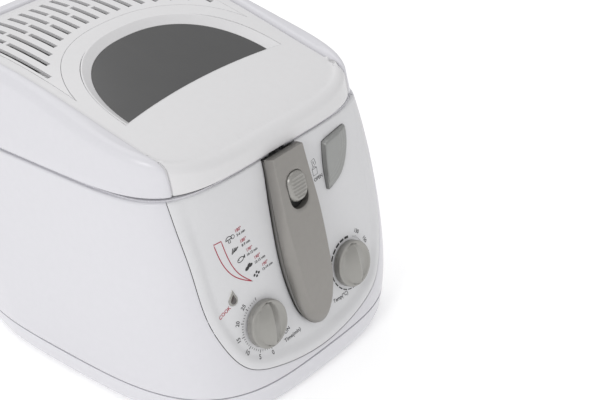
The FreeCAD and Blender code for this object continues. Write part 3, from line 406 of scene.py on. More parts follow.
# %% Give each design piece its finish
BY_SLOT = {"body_white": WHITE_BODY, "panel_white": WHITE_PANEL, "lid_white": WHITE_LID,
           "window_smoke": SMOKE, "handle_grey": GREY_HANDLE, "handle_dark": GREY_SIDE,
           "steel": STEEL, "knob_grey": GREY_KNOB,
           "button_grey": GREY_BUTTON, "inner_black": INNER_BLACK_AND_PAINTED_SHADE, "lamp_amber": LAMP, "bowl_dark": NON_STICK,
           "aluminium": ALUMINIUM, "rubber_grey": RUBBER, "basket_chrome": CHROME, "seal_grey": SEAL,
           "filter_black": FELT}
for entry in frame["record"]["subparts"]:
    target = nodes[entry["node"]]
    target.data.materials.clear()
    target.data.materials.append(BY_SLOT[entry["material_slot"]])


# %% [markdown]
# ## The curved wall as a map
# The body's wall is a rounded oval at every height. A table holds that wall: for each height
# it keeps points that are evenly spaced round the outline and the direction that faces
# outwards. A place on the wall is then a distance round it (u, from -1 at the back through 0
# in front to 1) and a height, like longitude and latitude, and every pattern below is bent
# over this map.

# %% Build the map of the wall
MAP_STEPS = 400
MAP_HEIGHTS = np.linspace(16.0, 208.0, 49)


def through_stages(column, height):
    """Lagrange's curve through one column of the wall stages."""
    total = 0.0
    for stage in WALL_STAGES:
        term = stage[column]
        for other in WALL_STAGES:
            if other is not stage:
                term = term * (height - other[0]) / (stage[0] - other[0])
        total = total + term
    return total


def oval(half_width, half_depth, squareness, shift, count):
    """Evenly spaced points round a rounded oval, starting and ending at the back."""
    turn = np.linspace(-math.pi, math.pi, 8001)
    power = 2 / squareness
    x = half_width * np.sign(np.sin(turn)) * np.abs(np.sin(turn)) ** power
    y = shift - half_depth * np.sign(np.cos(turn)) * np.abs(np.cos(turn)) ** power
    x[0] = x[-1] = 0.0
    length = np.concatenate([[0], np.cumsum(np.hypot(np.diff(x), np.diff(y)))])
    even = np.linspace(0, length[-1], count)
    return np.interp(even, length, x), np.interp(even, length, y)


def wall_table():
    rows = []
    for height in MAP_HEIGHTS:
        x, y = oval(*(through_stages(column, height) for column in (1, 2, 3, 4)), 2 * MAP_STEPS + 1)
        along = np.stack([np.gradient(x), np.gradient(y)])
        along /= np.linalg.norm(along, axis=0)
        along[:, 0] = along[:, -1] = (-1.0, 0.0)
        rows.append(np.stack([x, y, along[1], -along[0]], axis=1))
    return np.array(rows)


WALL = wall_table()
HALF_ROUND = 430.0


def map_row(height):
    """Which row of the wall's table a height falls in, with its fraction."""
    row = (height - MAP_HEIGHTS[0]) / (MAP_HEIGHTS[1] - MAP_HEIGHTS[0])
    return np.clip(row, 0, len(MAP_HEIGHTS) - 1 - 1e-6)


def on_wall(u, height, inset=0.0):
    """Points of the wall at u and height, moved inwards by inset."""
    u, height = np.asarray(u, float), np.asarray(height, float)
    column = np.clip((u + 1) * MAP_STEPS, 0, 2 * MAP_STEPS - 1e-6)
    row = map_row(height)
    i, j = row.astype(int), column.astype(int)
    s, t = (row - i)[..., None], (column - j)[..., None]
    mix = ((1 - s) * ((1 - t) * WALL[i, j] + t * WALL[i, j + 1])
           + s * ((1 - t) * WALL[i + 1, j] + t * WALL[i + 1, j + 1]))
    inset = np.asarray(inset, float)
    x, y = mix[..., 0] - inset * mix[..., 2], mix[..., 1] - inset * mix[..., 3]
    return np.stack([x, y, height], axis=-1)


def u_at(x, height):
    """The place round the wall where the front has this x at this height."""
    row = map_row(height)
    i = int(row)
    front = slice(int(MAP_STEPS * 0.62), int(MAP_STEPS * 1.38))
    values = (1 - row + i) * WALL[i, front, 0] + (row - i) * WALL[i + 1, front, 0]
    places = np.linspace(-1, 1, 2 * MAP_STEPS + 1)[front]
    return float(np.interp(x, values, places))


def to_map(line):
    """A line drawn square on, as x and height, laid on the map of the wall."""
    return np.array([(u_at(x, z) * HALF_ROUND, z) for x, z in line])


def on_front(points, inset=0.0):
    """Points drawn square on, laid on the wall and moved inwards by inset."""
    return on_wall(to_map(points)[:, 0] / HALF_ROUND, points[:, 1], inset)


print("wall map:", WALL.shape)

# %% [markdown]
# ## Outlines on the front
# The control panel fills the front: straight at the top, drawn in towards the bottom, and
# deep and round underneath. The handle lies in the middle of it, and the opening button has
# the shape of half a leaf. They are drawn here once, square on, and used for the openings as
# well as for the pieces that sit in them.

# %% Draw the outlines
PANEL_TOP = SEAM - 2.3
right_side = [(110, 222), (110, 200), (110, 178), (108.5, 147), (104.5, 95), (98, 74), (80, 46),
              (57, 36.5), (30, 31)]
panel_points = right_side + [(0, 28.5)] + [(-x, z) for x, z in reversed(right_side)]
PANEL_LINE = smooth_through(panel_points, 190)
LINE_END = 221
PANEL_EDGE = PANEL_LINE[PANEL_LINE[:, 1] < LINE_END]

HANDLE_LEAN = math.radians(11.5)
HANDLE_TOP = np.array([0.0, -148.4, 199.4])
HANDLE_LENGTH = 152.0
handle_side = [(19, 2.4), (20.8, -28), (24.2, -88), (20.8, -123.2), (12.6, -144.3)]
handle_points = handle_side + [(0, -HANDLE_LENGTH)] + [(-x, y) for x, y in reversed(handle_side)]
HANDLE_LINE = smooth_through(handle_points, 121)


def handle_to_world(points):
    """From the handle's own frame (x across, y up, z out) to the model's."""
    p = np.atleast_2d(np.array(points, float))
    lean_in, upright = math.sin(HANDLE_LEAN), math.cos(HANDLE_LEAN)
    return np.stack([p[:, 0] + HANDLE_TOP[0], HANDLE_TOP[1] + p[:, 1] * lean_in - p[:, 2] * upright,
                     HANDLE_TOP[2] + p[:, 1] * upright + p[:, 2] * lean_in], axis=1)


def notch_line(room):
    """The opening for the handle, square on: open at the top."""
    line = offset_line(HANDLE_LINE, room)
    front = np.stack([line[:, 0], HANDLE_TOP[2] + line[:, 1] * math.cos(HANDLE_LEAN)], axis=1)
    return np.concatenate([[(front[0, 0], 230.0)], front, [(front[-1, 0], 230.0)]])


BUTTON_AT = (61.8, 168.0)
BUTTON_LEAN = math.radians(11)
leaf_curve = smooth_through([(16.5, 21.5), (16.6, 14), (14.6, 4), (9.5, -6.5), (0.5, -16), (-12, -21.5)], 40)
LEAF_LINE = np.concatenate([leaf_curve, smooth_through([(-17.5, -22), (-16.5, -4), (-13.5, 18.5)], 18),
                            smooth_through([(-9, 19.6), (2, 20.9), (13, 22)], 10)])


def leaf_line(grow):
    """The button's outline, square on, grown by a gap."""
    centre = LEAF_LINE.mean(axis=0)
    away = LEAF_LINE - centre
    away /= np.linalg.norm(away, axis=1)[:, None]
    grown = LEAF_LINE + grow * away
    return np.stack([BUTTON_AT[0] + grown[:, 0], BUTTON_AT[1] + grown[:, 1] * math.cos(BUTTON_LEAN)], axis=1)


print("panel outline points:", len(PANEL_LINE), "handle outline points:", len(HANDLE_LINE))

# %% [markdown]
# ## The body moulding
# The body is one thin plastic tub. Its wall follows the map, its top and bottom edges roll
# inwards, and the front is open for the panel. The pattern is cut flat, with two extra lines
# beside the opening so that the edge there can be softened, and then bent over the map.

# %% Make the body
ROLL = 1.6
EDGE_DROP, EDGE_REACH = 0.45, 0.9


def rolled(place, low, high):
    """Height and inset of a wall whose two edges roll inwards."""
    turn_top = np.clip((place - (high - ROLL)) / ROLL, 0, math.pi / 2)
    turn_low = np.clip(((low + ROLL) - place) / ROLL, 0, math.pi / 2)
    height = np.clip(place, low + ROLL, high - ROLL) + ROLL * (np.sin(turn_top) - np.sin(turn_low))
    beyond = np.maximum(place - (high - ROLL) - ROLL * math.pi / 2, 0)
    beyond = beyond + np.maximum((low + ROLL) - place - ROLL * math.pi / 2, 0)
    return height, ROLL * (2 - np.cos(turn_top) - np.cos(turn_low)) + beyond


def make_body():
    low, high = SKIRT + 0.6, SEAM - 2.0
    reach_low, reach_high = low - 2.2, high + 3.0
    opening = to_map(PANEL_EDGE)
    rows = [reach_low, low - 0.9, low, low + 0.6, low + 1.1, low + ROLL, high - ROLL, high - 1.1,
            high - 0.5, high, high + 0.5, high + 0.9, reach_high]
    lines = [(offset_line(opening, d), False) for d in (0.25, 0.7, 1.2)]
    edge = np.linspace(-HALF_ROUND, HALF_ROUND, 340)
    lines += [(np.stack([edge, np.full(len(edge), z)], axis=1), False) for z in rows]
    lines += [(np.array([(side * HALF_ROUND, z) for z in np.linspace(reach_low, reach_high, 60)]), False)
              for side in (-1, 1)]
    hole = offset_line(opening, 0.25)
    fill = grid_points((-HALF_ROUND, low + 3), (HALF_ROUND, high - 2.5), 3.4)

    def keep(c):
        return (~inside(hole, c) & (c[:, 1] > reach_low) & (c[:, 1] < reach_high)
                & (np.abs(c[:, 0]) < HALF_ROUND))

    flat, faces = cut_pattern(lines, fill, keep, 1.6)
    height, inset = rolled(flat[:, 1], low, high)
    away = distance_to(hole, flat)
    inset = inset + softened(away, EDGE_DROP, EDGE_REACH)
    verts = on_wall(flat[:, 0] / HALF_ROUND, height, inset)
    return piece_from("body_moulding", verts, faces, WHITE_BODY, "housing", thick=WALL_THICK)


body = make_body()
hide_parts("outer_shell")
print("body faces:", len(body.data.polygons))

# %% [markdown]
# ## The deck round the bowl
# With the lid open one sees the deck: the flat top of the tub, with a round-cornered hole for
# the bowl, a slot for the latch and two for the hinge ears. It lies just under the seam.

# %% Make the deck
BOWL_HALF, BOWL_FRONT, BOWL_REAR, BOWL_CORNER = 99.0, -87.0, 129.0, 35.0


def round_rectangle(left, right, low, high, radius, steps=8):
    """Corner arcs of a rectangle, as one closed line."""
    points = []
    for cx, cy, start in ((right - radius, high - radius, 0), (left + radius, high - radius, 90),
                          (left + radius, low + radius, 180), (right - radius, low + radius, 270)):
        for index in range(steps + 1):
            angle = math.radians(start + 90 * index / steps)
            points.append((cx + radius * math.cos(angle), cy + radius * math.sin(angle)))
    return np.array(points)


def make_deck():
    rim = on_wall(np.linspace(-1, 1, 241)[:-1], np.full(240, SEAM - 2), 3.4)[:, :2]
    bowl = round_rectangle(-BOWL_HALF, BOWL_HALF, BOWL_FRONT, BOWL_REAR, BOWL_CORNER)
    hook_low, hook_high = (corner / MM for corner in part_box("latch_hook"))
    slots = [round_rectangle(hook_low.x - 1.5, hook_high.x + 1.5, hook_low.y - 5, hook_high.y + 5, 1.4, 3)]
    for name in ("hinge_bracket_left", "hinge_bracket_right"):
        ear_low, ear_high = (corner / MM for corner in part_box(name))
        slots.append(round_rectangle(ear_low.x - 2, ear_high.x + 2, ear_low.y - 2, ear_high.y + 1.5, 1.5, 3))
    slots.append(np.array([(-9.0, -140.0), (9.0, -140.0), (9.0, -86.0), (-9.0, -86.0)]))
    holes = [bowl] + slots
    fill = grid_points((-130, -140), (130, 165), 6)

    def keep(c):
        good = inside(rim, c)
        for hole in holes:
            good &= ~inside(hole, c)
        return good

    flat, faces = cut_pattern([(rim, True)] + [(h, True) for h in holes], fill, keep, 2.0)
    verts = np.column_stack([flat, np.full(len(flat), SEAM - 1.0)])
    return piece_from("deck_plate", verts, faces, WHITE_BODY, "housing", thick=2.0)


deck = make_deck()
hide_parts("outer_shell")
print("deck faces:", len(deck.data.polygons))

# %% [markdown]
# ## The control panel
# The panel's rim lies flush with the body. Inside the rim the surface sinks in a soft curve to
# a floor that carries the controls, deeper below than above. The opening for the handle and
# the one for the button are cut out of the same pattern, and their edges are softened too.

# %% Make the control panel
RIM_START, RIM_END = 4.5, 12.5
NO_LOW_EDGE = -99.0


def floor_sink(height):
    """How far the panel's floor lies behind the wall at a height."""
    return PANEL_SINK - 1.8 * smoothstep((height - 160) / 36)


def panel_inset(front):
    """Inset of the panel's surface for points seen square on."""
    from_edge = distance_to(PANEL_EDGE, front)
    sink = floor_sink(front[:, 1]) * smoothstep((from_edge - RIM_START) / (RIM_END - RIM_START))
    soft = softened(from_edge - 0.3, EDGE_DROP, EDGE_REACH)
    notch = 0.7 * np.clip(1 - distance_to(notch_line(0.6), front) / 1.4, 0, 1) ** 2
    return sink + soft + notch


def make_panel():
    edge = to_map(PANEL_EDGE)
    lines = [(offset_line(edge, d), False) for d in (-0.2, -0.65, -1.1, -4.5, -6.0, -7.5, -9.0, -10.5, -12.5)]
    outer = offset_line(edge, -0.2)
    notch = to_map(notch_line(0.6))
    lines += [(offset_line(notch, d), False) for d in (0.0, 0.7, 1.4)]
    button = to_map(leaf_line(0.45))
    wide_button = to_map(leaf_line(1.2))
    lines += [(button, True), (wide_button, True)]
    top = PANEL_TOP
    span = np.linspace(-112, 112, 90)
    reach = top + 2.6
    for z in (top - ROLL, top - 1.0, top - 0.5, top, top + 0.5, top + 0.9, reach):
        lines.append((to_map(np.stack([span, np.full(len(span), z)], axis=1)), False))
    fill = grid_points((-118, 28), (118, top - 2), 2.6)
    flat, faces = cut_pattern(lines, fill, lambda c: inside(outer, c) & ~inside(notch, c) & ~inside(button, c)
                              & (c[:, 1] < reach), 0.9)
    height, inset = rolled(flat[:, 1], NO_LOW_EDGE, top)
    front = on_wall(flat[:, 0] / HALF_ROUND, np.minimum(flat[:, 1], top))[:, (0, 2)]
    soft_button = softened(distance_to(leaf_line(0.45), front, True), 0.5, EDGE_REACH)
    verts = on_wall(flat[:, 0] / HALF_ROUND, height, inset + panel_inset(front) + soft_button)
    return piece_from("control_panel", verts, faces, WHITE_PANEL, "housing", thick=WALL_THICK)


panel = make_panel()
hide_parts("front_panel")
print("panel faces:", len(panel.data.polygons))

# %% [markdown]
# ## The pocket behind the handle
# When the handle folds out it leaves a pocket. Its side wall follows the opening straight
# inwards, and its back is a plain white skin with a slot for the lifting lever. Two ears with
# the handle's pin stand in it.

# %% Make the pocket
POCKET_DEPTH = 33.0


def make_pocket():
    line = notch_line(0.6)
    line = line[(line[:, 1] <= 229)]
    line[:, 1] = np.minimum(line[:, 1], PANEL_TOP)
    rings = []
    for depth in (1.2, 3.0, 8.0, 18.0, POCKET_DEPTH):
        start = on_front(line)
        start[:, 1] += depth + floor_sink(line[:, 1])
        rings.append(start)
    verts, faces = strips(rings)
    fill = grid_points((-30, 40), (30, PANEL_TOP), 5)
    slot = np.array([(-8.5, 150.0), (8.5, 150.0), (8.5, 240.0), (-8.5, 240.0)])
    flat, back = cut_pattern([(line, True), (slot, True)], fill,
                             lambda c: inside(line, c) & ~inside(slot, c), 1.5)
    rear = on_front(flat)
    rear[:, 0] = flat[:, 0]
    rear[:, 1] += POCKET_DEPTH + floor_sink(flat[:, 1])
    shift = len(verts)
    verts = np.concatenate([verts, rear])
    faces += shifted(back, shift)
    return piece_from("handle_pocket", verts, faces, WHITE_PANEL, "housing")


def make_ears():
    """Two ears with a round eye that carry the handle's pin."""
    low, high = (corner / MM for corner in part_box("handle_pin"))
    centre = (low + high) / 2
    verts, faces = [], []
    root, radius = centre.y + 22, 4.2
    for side in (-1, 1):
        outline = [(root, centre.z - radius), (centre.y, centre.z - radius)]
        outline += [(centre.y - radius * math.sin(a), centre.z - radius * math.cos(a))
                    for a in np.linspace(0.2, math.pi, 14)]
        outline += [(root, centre.z + radius)]
        rings = [[(side * x, y, z) for y, z in outline] for x in (9.6, 9.9, 13.1, 13.4)]
        own, quads = strips(rings, closed=True)
        shift = len(verts)
        verts += [tuple(v) for v in own]
        faces += shifted(quads, shift)
        count = len(outline)
        faces += shifted([range(count)], shift)
        faces += shifted([range(count)], shift + 3 * count, turned=True)
    return piece_from("pin_ears", verts, faces, WHITE_PANEL, "housing")


pocket = make_pocket()
ears = make_ears()
for part in (pocket, ears):
    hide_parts("front_panel")
print("pocket faces:", len(pocket.data.polygons))

# %% [markdown]
# ## The lid
# The lid rises in one long curve from a rounded front edge to the flat top at the back. Its
# centre is a broad smooth panel; on both sides a raised shoulder runs from a round nose at the
# front corner to the back, parted from the panel by a groove. The wall of the lid is made of
# rows that end in a rounded edge, and the top is a pattern cut in plan and lifted to the
# right height.

# %% Describe the lid's surface
LID_OVAL = (129.0, 153.0, 4.6, 12.0)
LID_TAPER = 0.16
SHOULDER_RISE = 3.5
EDGE_ROUND = 9.0
crest = smooth_through([(-142, 190), (-139, 212), (-113, 227), (-74, 237), (7, 257), (75, 267.5), (130, 268),
                        (168, 262)], 400)


def crest_height(y):
    return np.interp(y, crest[:, 0], crest[:, 1])


ZONE_FRONT, ZONE_REAR, ZONE_END, ZONE_CORNER = 102.0, 108.0, 141.0, 24.0


def zone_line(grow):
    """Plan of the centre panel, open towards the front."""
    front, rear, end = ZONE_FRONT + grow, ZONE_REAR + grow, ZONE_END + grow
    radius = ZONE_CORNER + max(grow, -20)
    turn = np.linspace(0, math.pi / 2, 12)
    corner = np.stack([rear - radius + radius * np.cos(turn), end - radius + radius * np.sin(turn)], axis=1)
    right = np.concatenate([[(front, -200.0)], [(front + (rear - front) * s, -200 + (end - radius + 200) * s)
                                                for s in np.linspace(0.05, 0.97, 60)], corner])
    return np.concatenate([right, right[::-1] * (-1, 1)])


ZONE = zone_line(0.0)


def past_zone(points):
    """Distance outside the centre panel; negative inside it."""
    distance = distance_to(ZONE, points)
    return np.where(inside(ZONE, points), -distance, distance)


def shoulder(points):
    """Extra height of the shoulders, with the groove beside them."""
    s = past_zone(points)
    rise = np.clip((s - 0.5) / 4.0, 0, 1)
    lifted = SHOULDER_RISE * quarter_round(rise)
    groove = 1.8 * np.clip(1 - np.abs(s) / 0.5, 0, 1) ** 0.5
    return np.where(s > 0.5, lifted, 0) - groove


def lid_top(points):
    return crest_height(points[:, 1]) + shoulder(points)


print("crest from %.0f to %.0f mm" % (crest[:, 1].min(), crest[:, 1].max()))


# %% Make the lid's wall and top
LID_GUESS = 230.0


def lid_column_places():
    """Places round the lid: even, and dense where the groove comes down the front."""
    x, y = oval(*LID_OVAL, 4001)
    s = past_zone(np.stack([x, y], axis=1))
    even, crossings = np.linspace(0, 4000, 231), []
    front = y < -60
    for level in (-6, -3, -1.5, -0.9, -0.5, -0.25, 0, 0.25, 0.5, 0.9, 1.4, 2, 3, 4.5, 6):
        crossing = np.nonzero(front[:-1] & ((s[:-1] - level) * (s[1:] - level) <= 0))[0]
        crossings += [float(c) for c in crossing]
    crossings = np.unique(crossings)
    clear = np.abs(even[:, None] - crossings).min(axis=1) > 3
    return np.sort(np.concatenate([even[clear], crossings]))


def lid_point(places, height, inset):
    """Points of the lid's outline at heights, moved inwards."""
    x, y = oval(*LID_OVAL, 4001)
    along = np.stack([np.gradient(x), np.gradient(y)])
    along /= np.linalg.norm(along, axis=0)
    px, py = np.interp(places, np.arange(4001), x), np.interp(places, np.arange(4001), y)
    nx, ny = np.interp(places, np.arange(4001), along[1]), np.interp(places, np.arange(4001), -along[0])
    total = inset + LID_TAPER * (height - SEAM) * (0.5 + 0.5 * np.abs(nx))
    return np.stack([px - total * nx, py - total * ny, height + 0 * px], axis=1)


def lid_ring(places, height, inset):
    """A row of the lid whose columns follow the groove down the front."""
    height = height + 0 * places
    inset = inset + 0 * places
    moved = places.copy()
    ahead = np.linspace(600, 3400, 11201)
    outline = past_zone(lid_point(ahead, np.full(len(ahead), SEAM), 0 * ahead)[:, :2])
    for side in (slice(0, 5600), slice(5600, None)):
        start = ahead[side][np.argmin(np.abs(outline[side]))]
        near = np.linspace(start - 300, start + 300, 2401)
        row = lid_point(near, np.interp(near, places, height), np.interp(near, places, inset))
        goal = near[np.argmin(np.abs(past_zone(row[:, :2])))]
        moved += (goal - start) * np.clip(1 - np.abs(places - start) / 380, 0, 1)
    return lid_point(moved, height, inset)


def make_lid():
    """Rows of the lid's wall, from under the lower edge over the round to the top."""
    places = lid_column_places()
    low = SEAM + 0.9
    rim = lid_ring(places, low, 0.0)
    s = past_zone(rim[:, :2])
    rise = np.clip((s - 0.5) / 4.0, 0, 1)
    back = np.where(s > 0.5, 2.0 * (1 - quarter_round(rise)), 2.0)
    back = back + 1.4 * np.clip(1 - np.abs(s) / 0.5, 0, 1) ** 0.5
    crown = lid_ring(places, LID_GUESS, back + EDGE_ROUND)
    for _ in range(3):
        height = lid_top(crown[:, :2])
        crown = lid_ring(places, height, back + EDGE_ROUND)
    height = lid_top(crown[:, :2])
    rings = [lid_ring(places, low + up, back + inwards)
             for up, inwards in ((0.0, 3.5), (0.0, 0.8), (0.25, 0.25), (0.9, 0.0))]
    for share in (0.2, 0.4, 0.6, 0.8, 1.0):
        level = low + 0.9 + (height - EDGE_ROUND - low - 0.9) * share
        rings.append(lid_ring(places, level, back))
    for turn in np.linspace(0, math.pi / 2, 10)[1:]:
        level = height - EDGE_ROUND * (1 - math.sin(turn))
        rings.append(lid_ring(places, level, back + EDGE_ROUND * (1 - math.cos(turn))))
    return rings


LID_RINGS = make_lid()
TOP_RIM = LID_RINGS[-1][:-1, :2]
print("lid wall rows:", len(LID_RINGS), "columns:", len(LID_RINGS[0]))

# %% [markdown]
# ## Openings in the lid
# The window is a half moon: nearly straight in front, wide and round behind. It is drawn along
# the lid's slope, so its line is dropped onto the crest. The filter cover is a square with a
# hollow for the window.

# %% Draw the openings of the lid
WINDOW_FRONT, WINDOW_HALF, WINDOW_DEPTH, WINDOW_SQUARE = -61.0, 80.0, 92.0, 2.3
KNEE = (-74.0, 237.0)
SLOPE = math.atan2(257.0 - 237.0, 7.0 + 74.0)


def window_plan(grow, steps=48):
    """The window's outline along the slope: rear curve and bowed front edge."""
    a, b = WINDOW_HALF + grow, WINDOW_DEPTH + grow
    turn = np.linspace(0, math.pi, steps)
    c, s = np.cos(turn), np.sin(turn)
    rear = np.stack([a * np.sign(c) * np.abs(c) ** (2 / WINDOW_SQUARE),
                     WINDOW_FRONT + b * s ** (2 / WINDOW_SQUARE)], axis=1)
    low = WINDOW_FRONT - 0.4 * grow
    x = np.linspace(-a, a, 24)
    front = np.stack([x, low + 8.0 * (1 - (x / a) ** 2)], axis=1)
    return np.concatenate([rear, front])


def slope_to_world(points, lift=0.0):
    p = np.array(points, float)
    along = p[:, 1] - KNEE[0]
    return np.stack([p[:, 0], KNEE[0] + along * math.cos(SLOPE) - lift * math.sin(SLOPE),
                     KNEE[1] + along * math.sin(SLOPE) + lift * math.cos(SLOPE)], axis=1)


def window_hole(grow):
    """The window's outline in plan, where it meets the lid's top."""
    plan = window_plan(grow)
    lift = np.zeros(len(plan))
    for _ in range(6):
        world = slope_to_world(plan, lift)
        lift = lift + (crest_height(world[:, 1]) - world[:, 2]) * math.cos(SLOPE)
    return slope_to_world(plan, lift)[:, :2]


FILTER_HALF, FILTER_REAR, FILTER_GAP = 97.0, 134.0, 22.0


def filter_line(grow):
    a, b = WINDOW_HALF + FILTER_GAP - grow, WINDOW_DEPTH + FILTER_GAP - grow
    half, rear, radius = FILTER_HALF + grow, FILTER_REAR + grow, 22.0
    x = np.linspace(half, -half, 60)
    front = np.stack([x, WINDOW_FRONT + b * np.clip(1 - (np.abs(x) / a) ** WINDOW_SQUARE, 0, 1)
                      ** (1 / WINDOW_SQUARE)], axis=1)
    turn = np.linspace(math.pi, math.pi / 2, 10)
    left = np.stack([-half + radius + radius * np.cos(turn),
                     rear - radius + radius * np.sin(turn)], axis=1)
    return np.concatenate([front, left, (left * (-1, 1))[::-1]])


def make_lid_skins():
    window = window_hole(9.25)
    cover = filter_line(0.35)
    lines = [(TOP_RIM, True), (window, True), (cover, True)]
    for grow in (-3.0, -1.2, -0.5, -0.25, 0.0, 0.25, 0.5, 0.8, 1.3, 2.0, 3.0, 4.5):
        line = zone_line(grow)
        lines.append((line[inside(TOP_RIM, line)], False))
    fill = grid_points((-120, -135), (120, 160), 4.2)
    flat, faces = cut_pattern(lines, fill, lambda c: (inside(TOP_RIM, c) & ~inside(window, c)
                                                      & ~inside(cover, c)), 1.2)
    top = np.column_stack([flat, lid_top(flat)])
    wall, quads = strips(LID_RINGS)
    verts = np.concatenate([top, wall])
    faces = shifted(faces, 0) + shifted(quads, len(top))
    centres = np.array([verts[list(f)].mean(axis=0)[:2] for f in faces])
    middle = past_zone(centres) < 0
    pieces = []
    for name, own, finish_used in (("lid_centre", middle, WHITE_LID),
                                   ("lid_shoulders", ~middle, WHITE_BODY)):
        chosen = [f for f, take in zip(faces, own) if take]
        pieces.append(piece_from(name, verts, chosen, finish_used, "lid", thick=WALL_THICK))
    return pieces


lid_centre, lid_shoulders = make_lid_skins()
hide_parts("lid_panel")
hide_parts("lid_shell")
print("lid faces:", len(lid_centre.data.polygons) + len(lid_shoulders.data.polygons))

# %% [markdown]
# ## The handle cover
# The grip is two mouldings screwed together. The upper one has a flat face with a wide bevel
# that turns into the side, and an oval slot for the catch. Its edge is a row of profiles that
# follow the outline round the tip, and the face is a pattern with the slot cut out.

# %% Make the handle cover
COVER_THICK = 9.0
crown_line = smooth_through([(3, 0.2), (-1, 0.3), (-5, 0.4), (-16, 0.7), (-46, 1.5), (-76, 2.0),
                             (-114, 1.5), (-138, 0.0), (-147, -1.6), (-153, -6.5)], 200)
face_side = [(17.3, 2.4), (18.1, -24), (19.2, -46), (17.0, -96.7), (10.4, -130.6)]
face_points = face_side + [(0, -143)] + [(-x, y) for x, y in reversed(face_side)]
FACE_LINE = smooth_through(face_points, 121)
SLIDE_AT, SLIDE_HALF_WIDTH, SLIDE_HALF_LENGTH, SLIDE_TRAVEL = -27.0, 10.5, 13.0, 6.0


def crown(y):
    return np.interp(-np.asarray(y, float), -crown_line[:, 0], crown_line[:, 1])


def face_height(points):
    return crown(points[:, 1]) - 0.5 * (points[:, 0] / 18.0) ** 2


def make_cover():
    outer, inner = HANDLE_LINE, FACE_LINE
    rim = face_height(inner)
    rings = []
    for share, drop in ((0.0, None), (0.04, 0.85), (0.14, 0.68), (0.36, 0.44), (0.62, 0.22), (0.84, 0.07),
                        (0.93, 0.02), (1.0, 0.0)):
        line = outer * (1 - share) + inner * share
        height = np.full(len(line), -COVER_THICK) if drop is None else rim - drop * (rim + COVER_THICK)
        rings.append(handle_to_world(np.column_stack([line, height])))
    verts, quads = strips(rings)
    slot_low, slot_high = SLIDE_AT - SLIDE_HALF_LENGTH - SLIDE_TRAVEL, SLIDE_AT + SLIDE_HALF_LENGTH
    slot = round_rectangle(-SLIDE_HALF_WIDTH, SLIDE_HALF_WIDTH, slot_low, slot_high, 9.5, 10)
    soft = round_rectangle(-SLIDE_HALF_WIDTH - 0.8, SLIDE_HALF_WIDTH + 0.8, slot_low - 0.8,
                           slot_high + 0.8, 10.3, 10)
    fill = grid_points((-20, -142), (20, 0), 2.6)
    flat, faces = cut_pattern([(inner, True), (slot, True), (soft, True)], fill,
                              lambda c: inside(inner, c) & ~inside(slot, c), 0.9)
    height = face_height(flat) - softened(distance_to(slot, flat, True), 0.5, 0.8)
    top = handle_to_world(np.column_stack([flat, height]))
    end = [ring[-1] for ring in rings] + [ring[0] for ring in reversed(rings)]
    brink = face_height(slot) - 0.5
    well_rows = [handle_to_world(np.column_stack([slot, level]))
                 for level in (brink, np.full(len(slot), -5.0))]
    well, well_quads = strips(well_rows, closed=True)
    faces = shifted(quads, 0, turned=True) + shifted(faces, len(verts))
    start = len(verts) + len(top)
    faces += shifted([range(len(end))], start) + shifted(well_quads, start + len(end))
    verts = np.concatenate([verts, top, end, well])
    return piece_from("handle_cover_moulding", verts, faces, GREY_HANDLE, "handle")


cover = make_cover()
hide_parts("handle_cover")
print("cover faces:", len(cover.data.polygons))

# %% [markdown]
# ## The catch in the handle
# A small oval slider locks the handle. Its top is crowned and carries six fine ribs for the
# thumb. Below it the slot is dark with painted shade: a black plate closes the slot from
# behind, where the real handle has only shadow.

# %% Make the catch and its black plate of painted shade
def make_slider():
    half_w, half_l = SLIDE_HALF_WIDTH - 0.4, SLIDE_HALF_LENGTH - 0.4
    outline = round_rectangle(-half_w, half_w, -half_l, half_l, 9.0, 12)
    fill = grid_points((-half_w, -half_l), (half_w, half_l), 0.55)
    flat, faces = cut_pattern([(outline, True)], fill, lambda c: inside(outline, c), 0.3)
    edge = distance_to(outline, flat, True)
    height = 3.4 - softened(edge, 2.6, 3.0)
    pitch = 2.9
    ribs = np.clip(np.cos(flat[:, 1] / pitch * 2 * math.pi), 0, 1) ** 2
    height += 0.65 * ribs * smoothstep((edge - 2.2) / 1.0) * (np.abs(flat[:, 1]) < 3.2 * pitch)
    place = flat + (0, SLIDE_AT)
    verts = handle_to_world(np.column_stack([place, height]))
    side = [handle_to_world(np.column_stack([outline + (0, SLIDE_AT), np.full(len(outline), z)]))
            for z in (0.8, -4.5)]
    wall, quads = strips(side, closed=True)
    faces = shifted(faces, 0) + shifted(quads, len(verts), turned=True)
    return piece_from("release_catch", np.concatenate([verts, wall]), faces, GREY_KNOB, "slider",
                      sharp=50.0)


def make_slot_plate():
    # Painted shade: a black plate behind the catch's slot, where the real handle shows only shadow.
    outline = round_rectangle(-12.5, 12.5, SLIDE_AT - 21.5, SLIDE_AT + 15.5, 10, 8)
    fill = grid_points((-12, -50), (12, -10), 4)
    flat, faces = cut_pattern([(outline, True)], fill, lambda c: inside(outline, c), 1)
    verts = handle_to_world(np.column_stack([flat, np.full(len(flat), -5.2)]))
    return piece_from("slot_painted_shade", verts, faces, INNER_BLACK_AND_PAINTED_SHADE, "handle", thick=0.6)


catch = make_slider()
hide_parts("release_slider")
# The black plate puts painted shade inside the slot.
make_slot_plate()
print("catch faces:", len(catch.data.polygons))

# %% [markdown]
# ## The opening button
# The leaf-shaped button is smooth beside the handle and falls away to its bowed edge in three
# low steps that follow the edge. The steps come from the distance to that edge.

# %% Make the opening button
STEP_PLACES = (4.0, 8.0, 12.0)


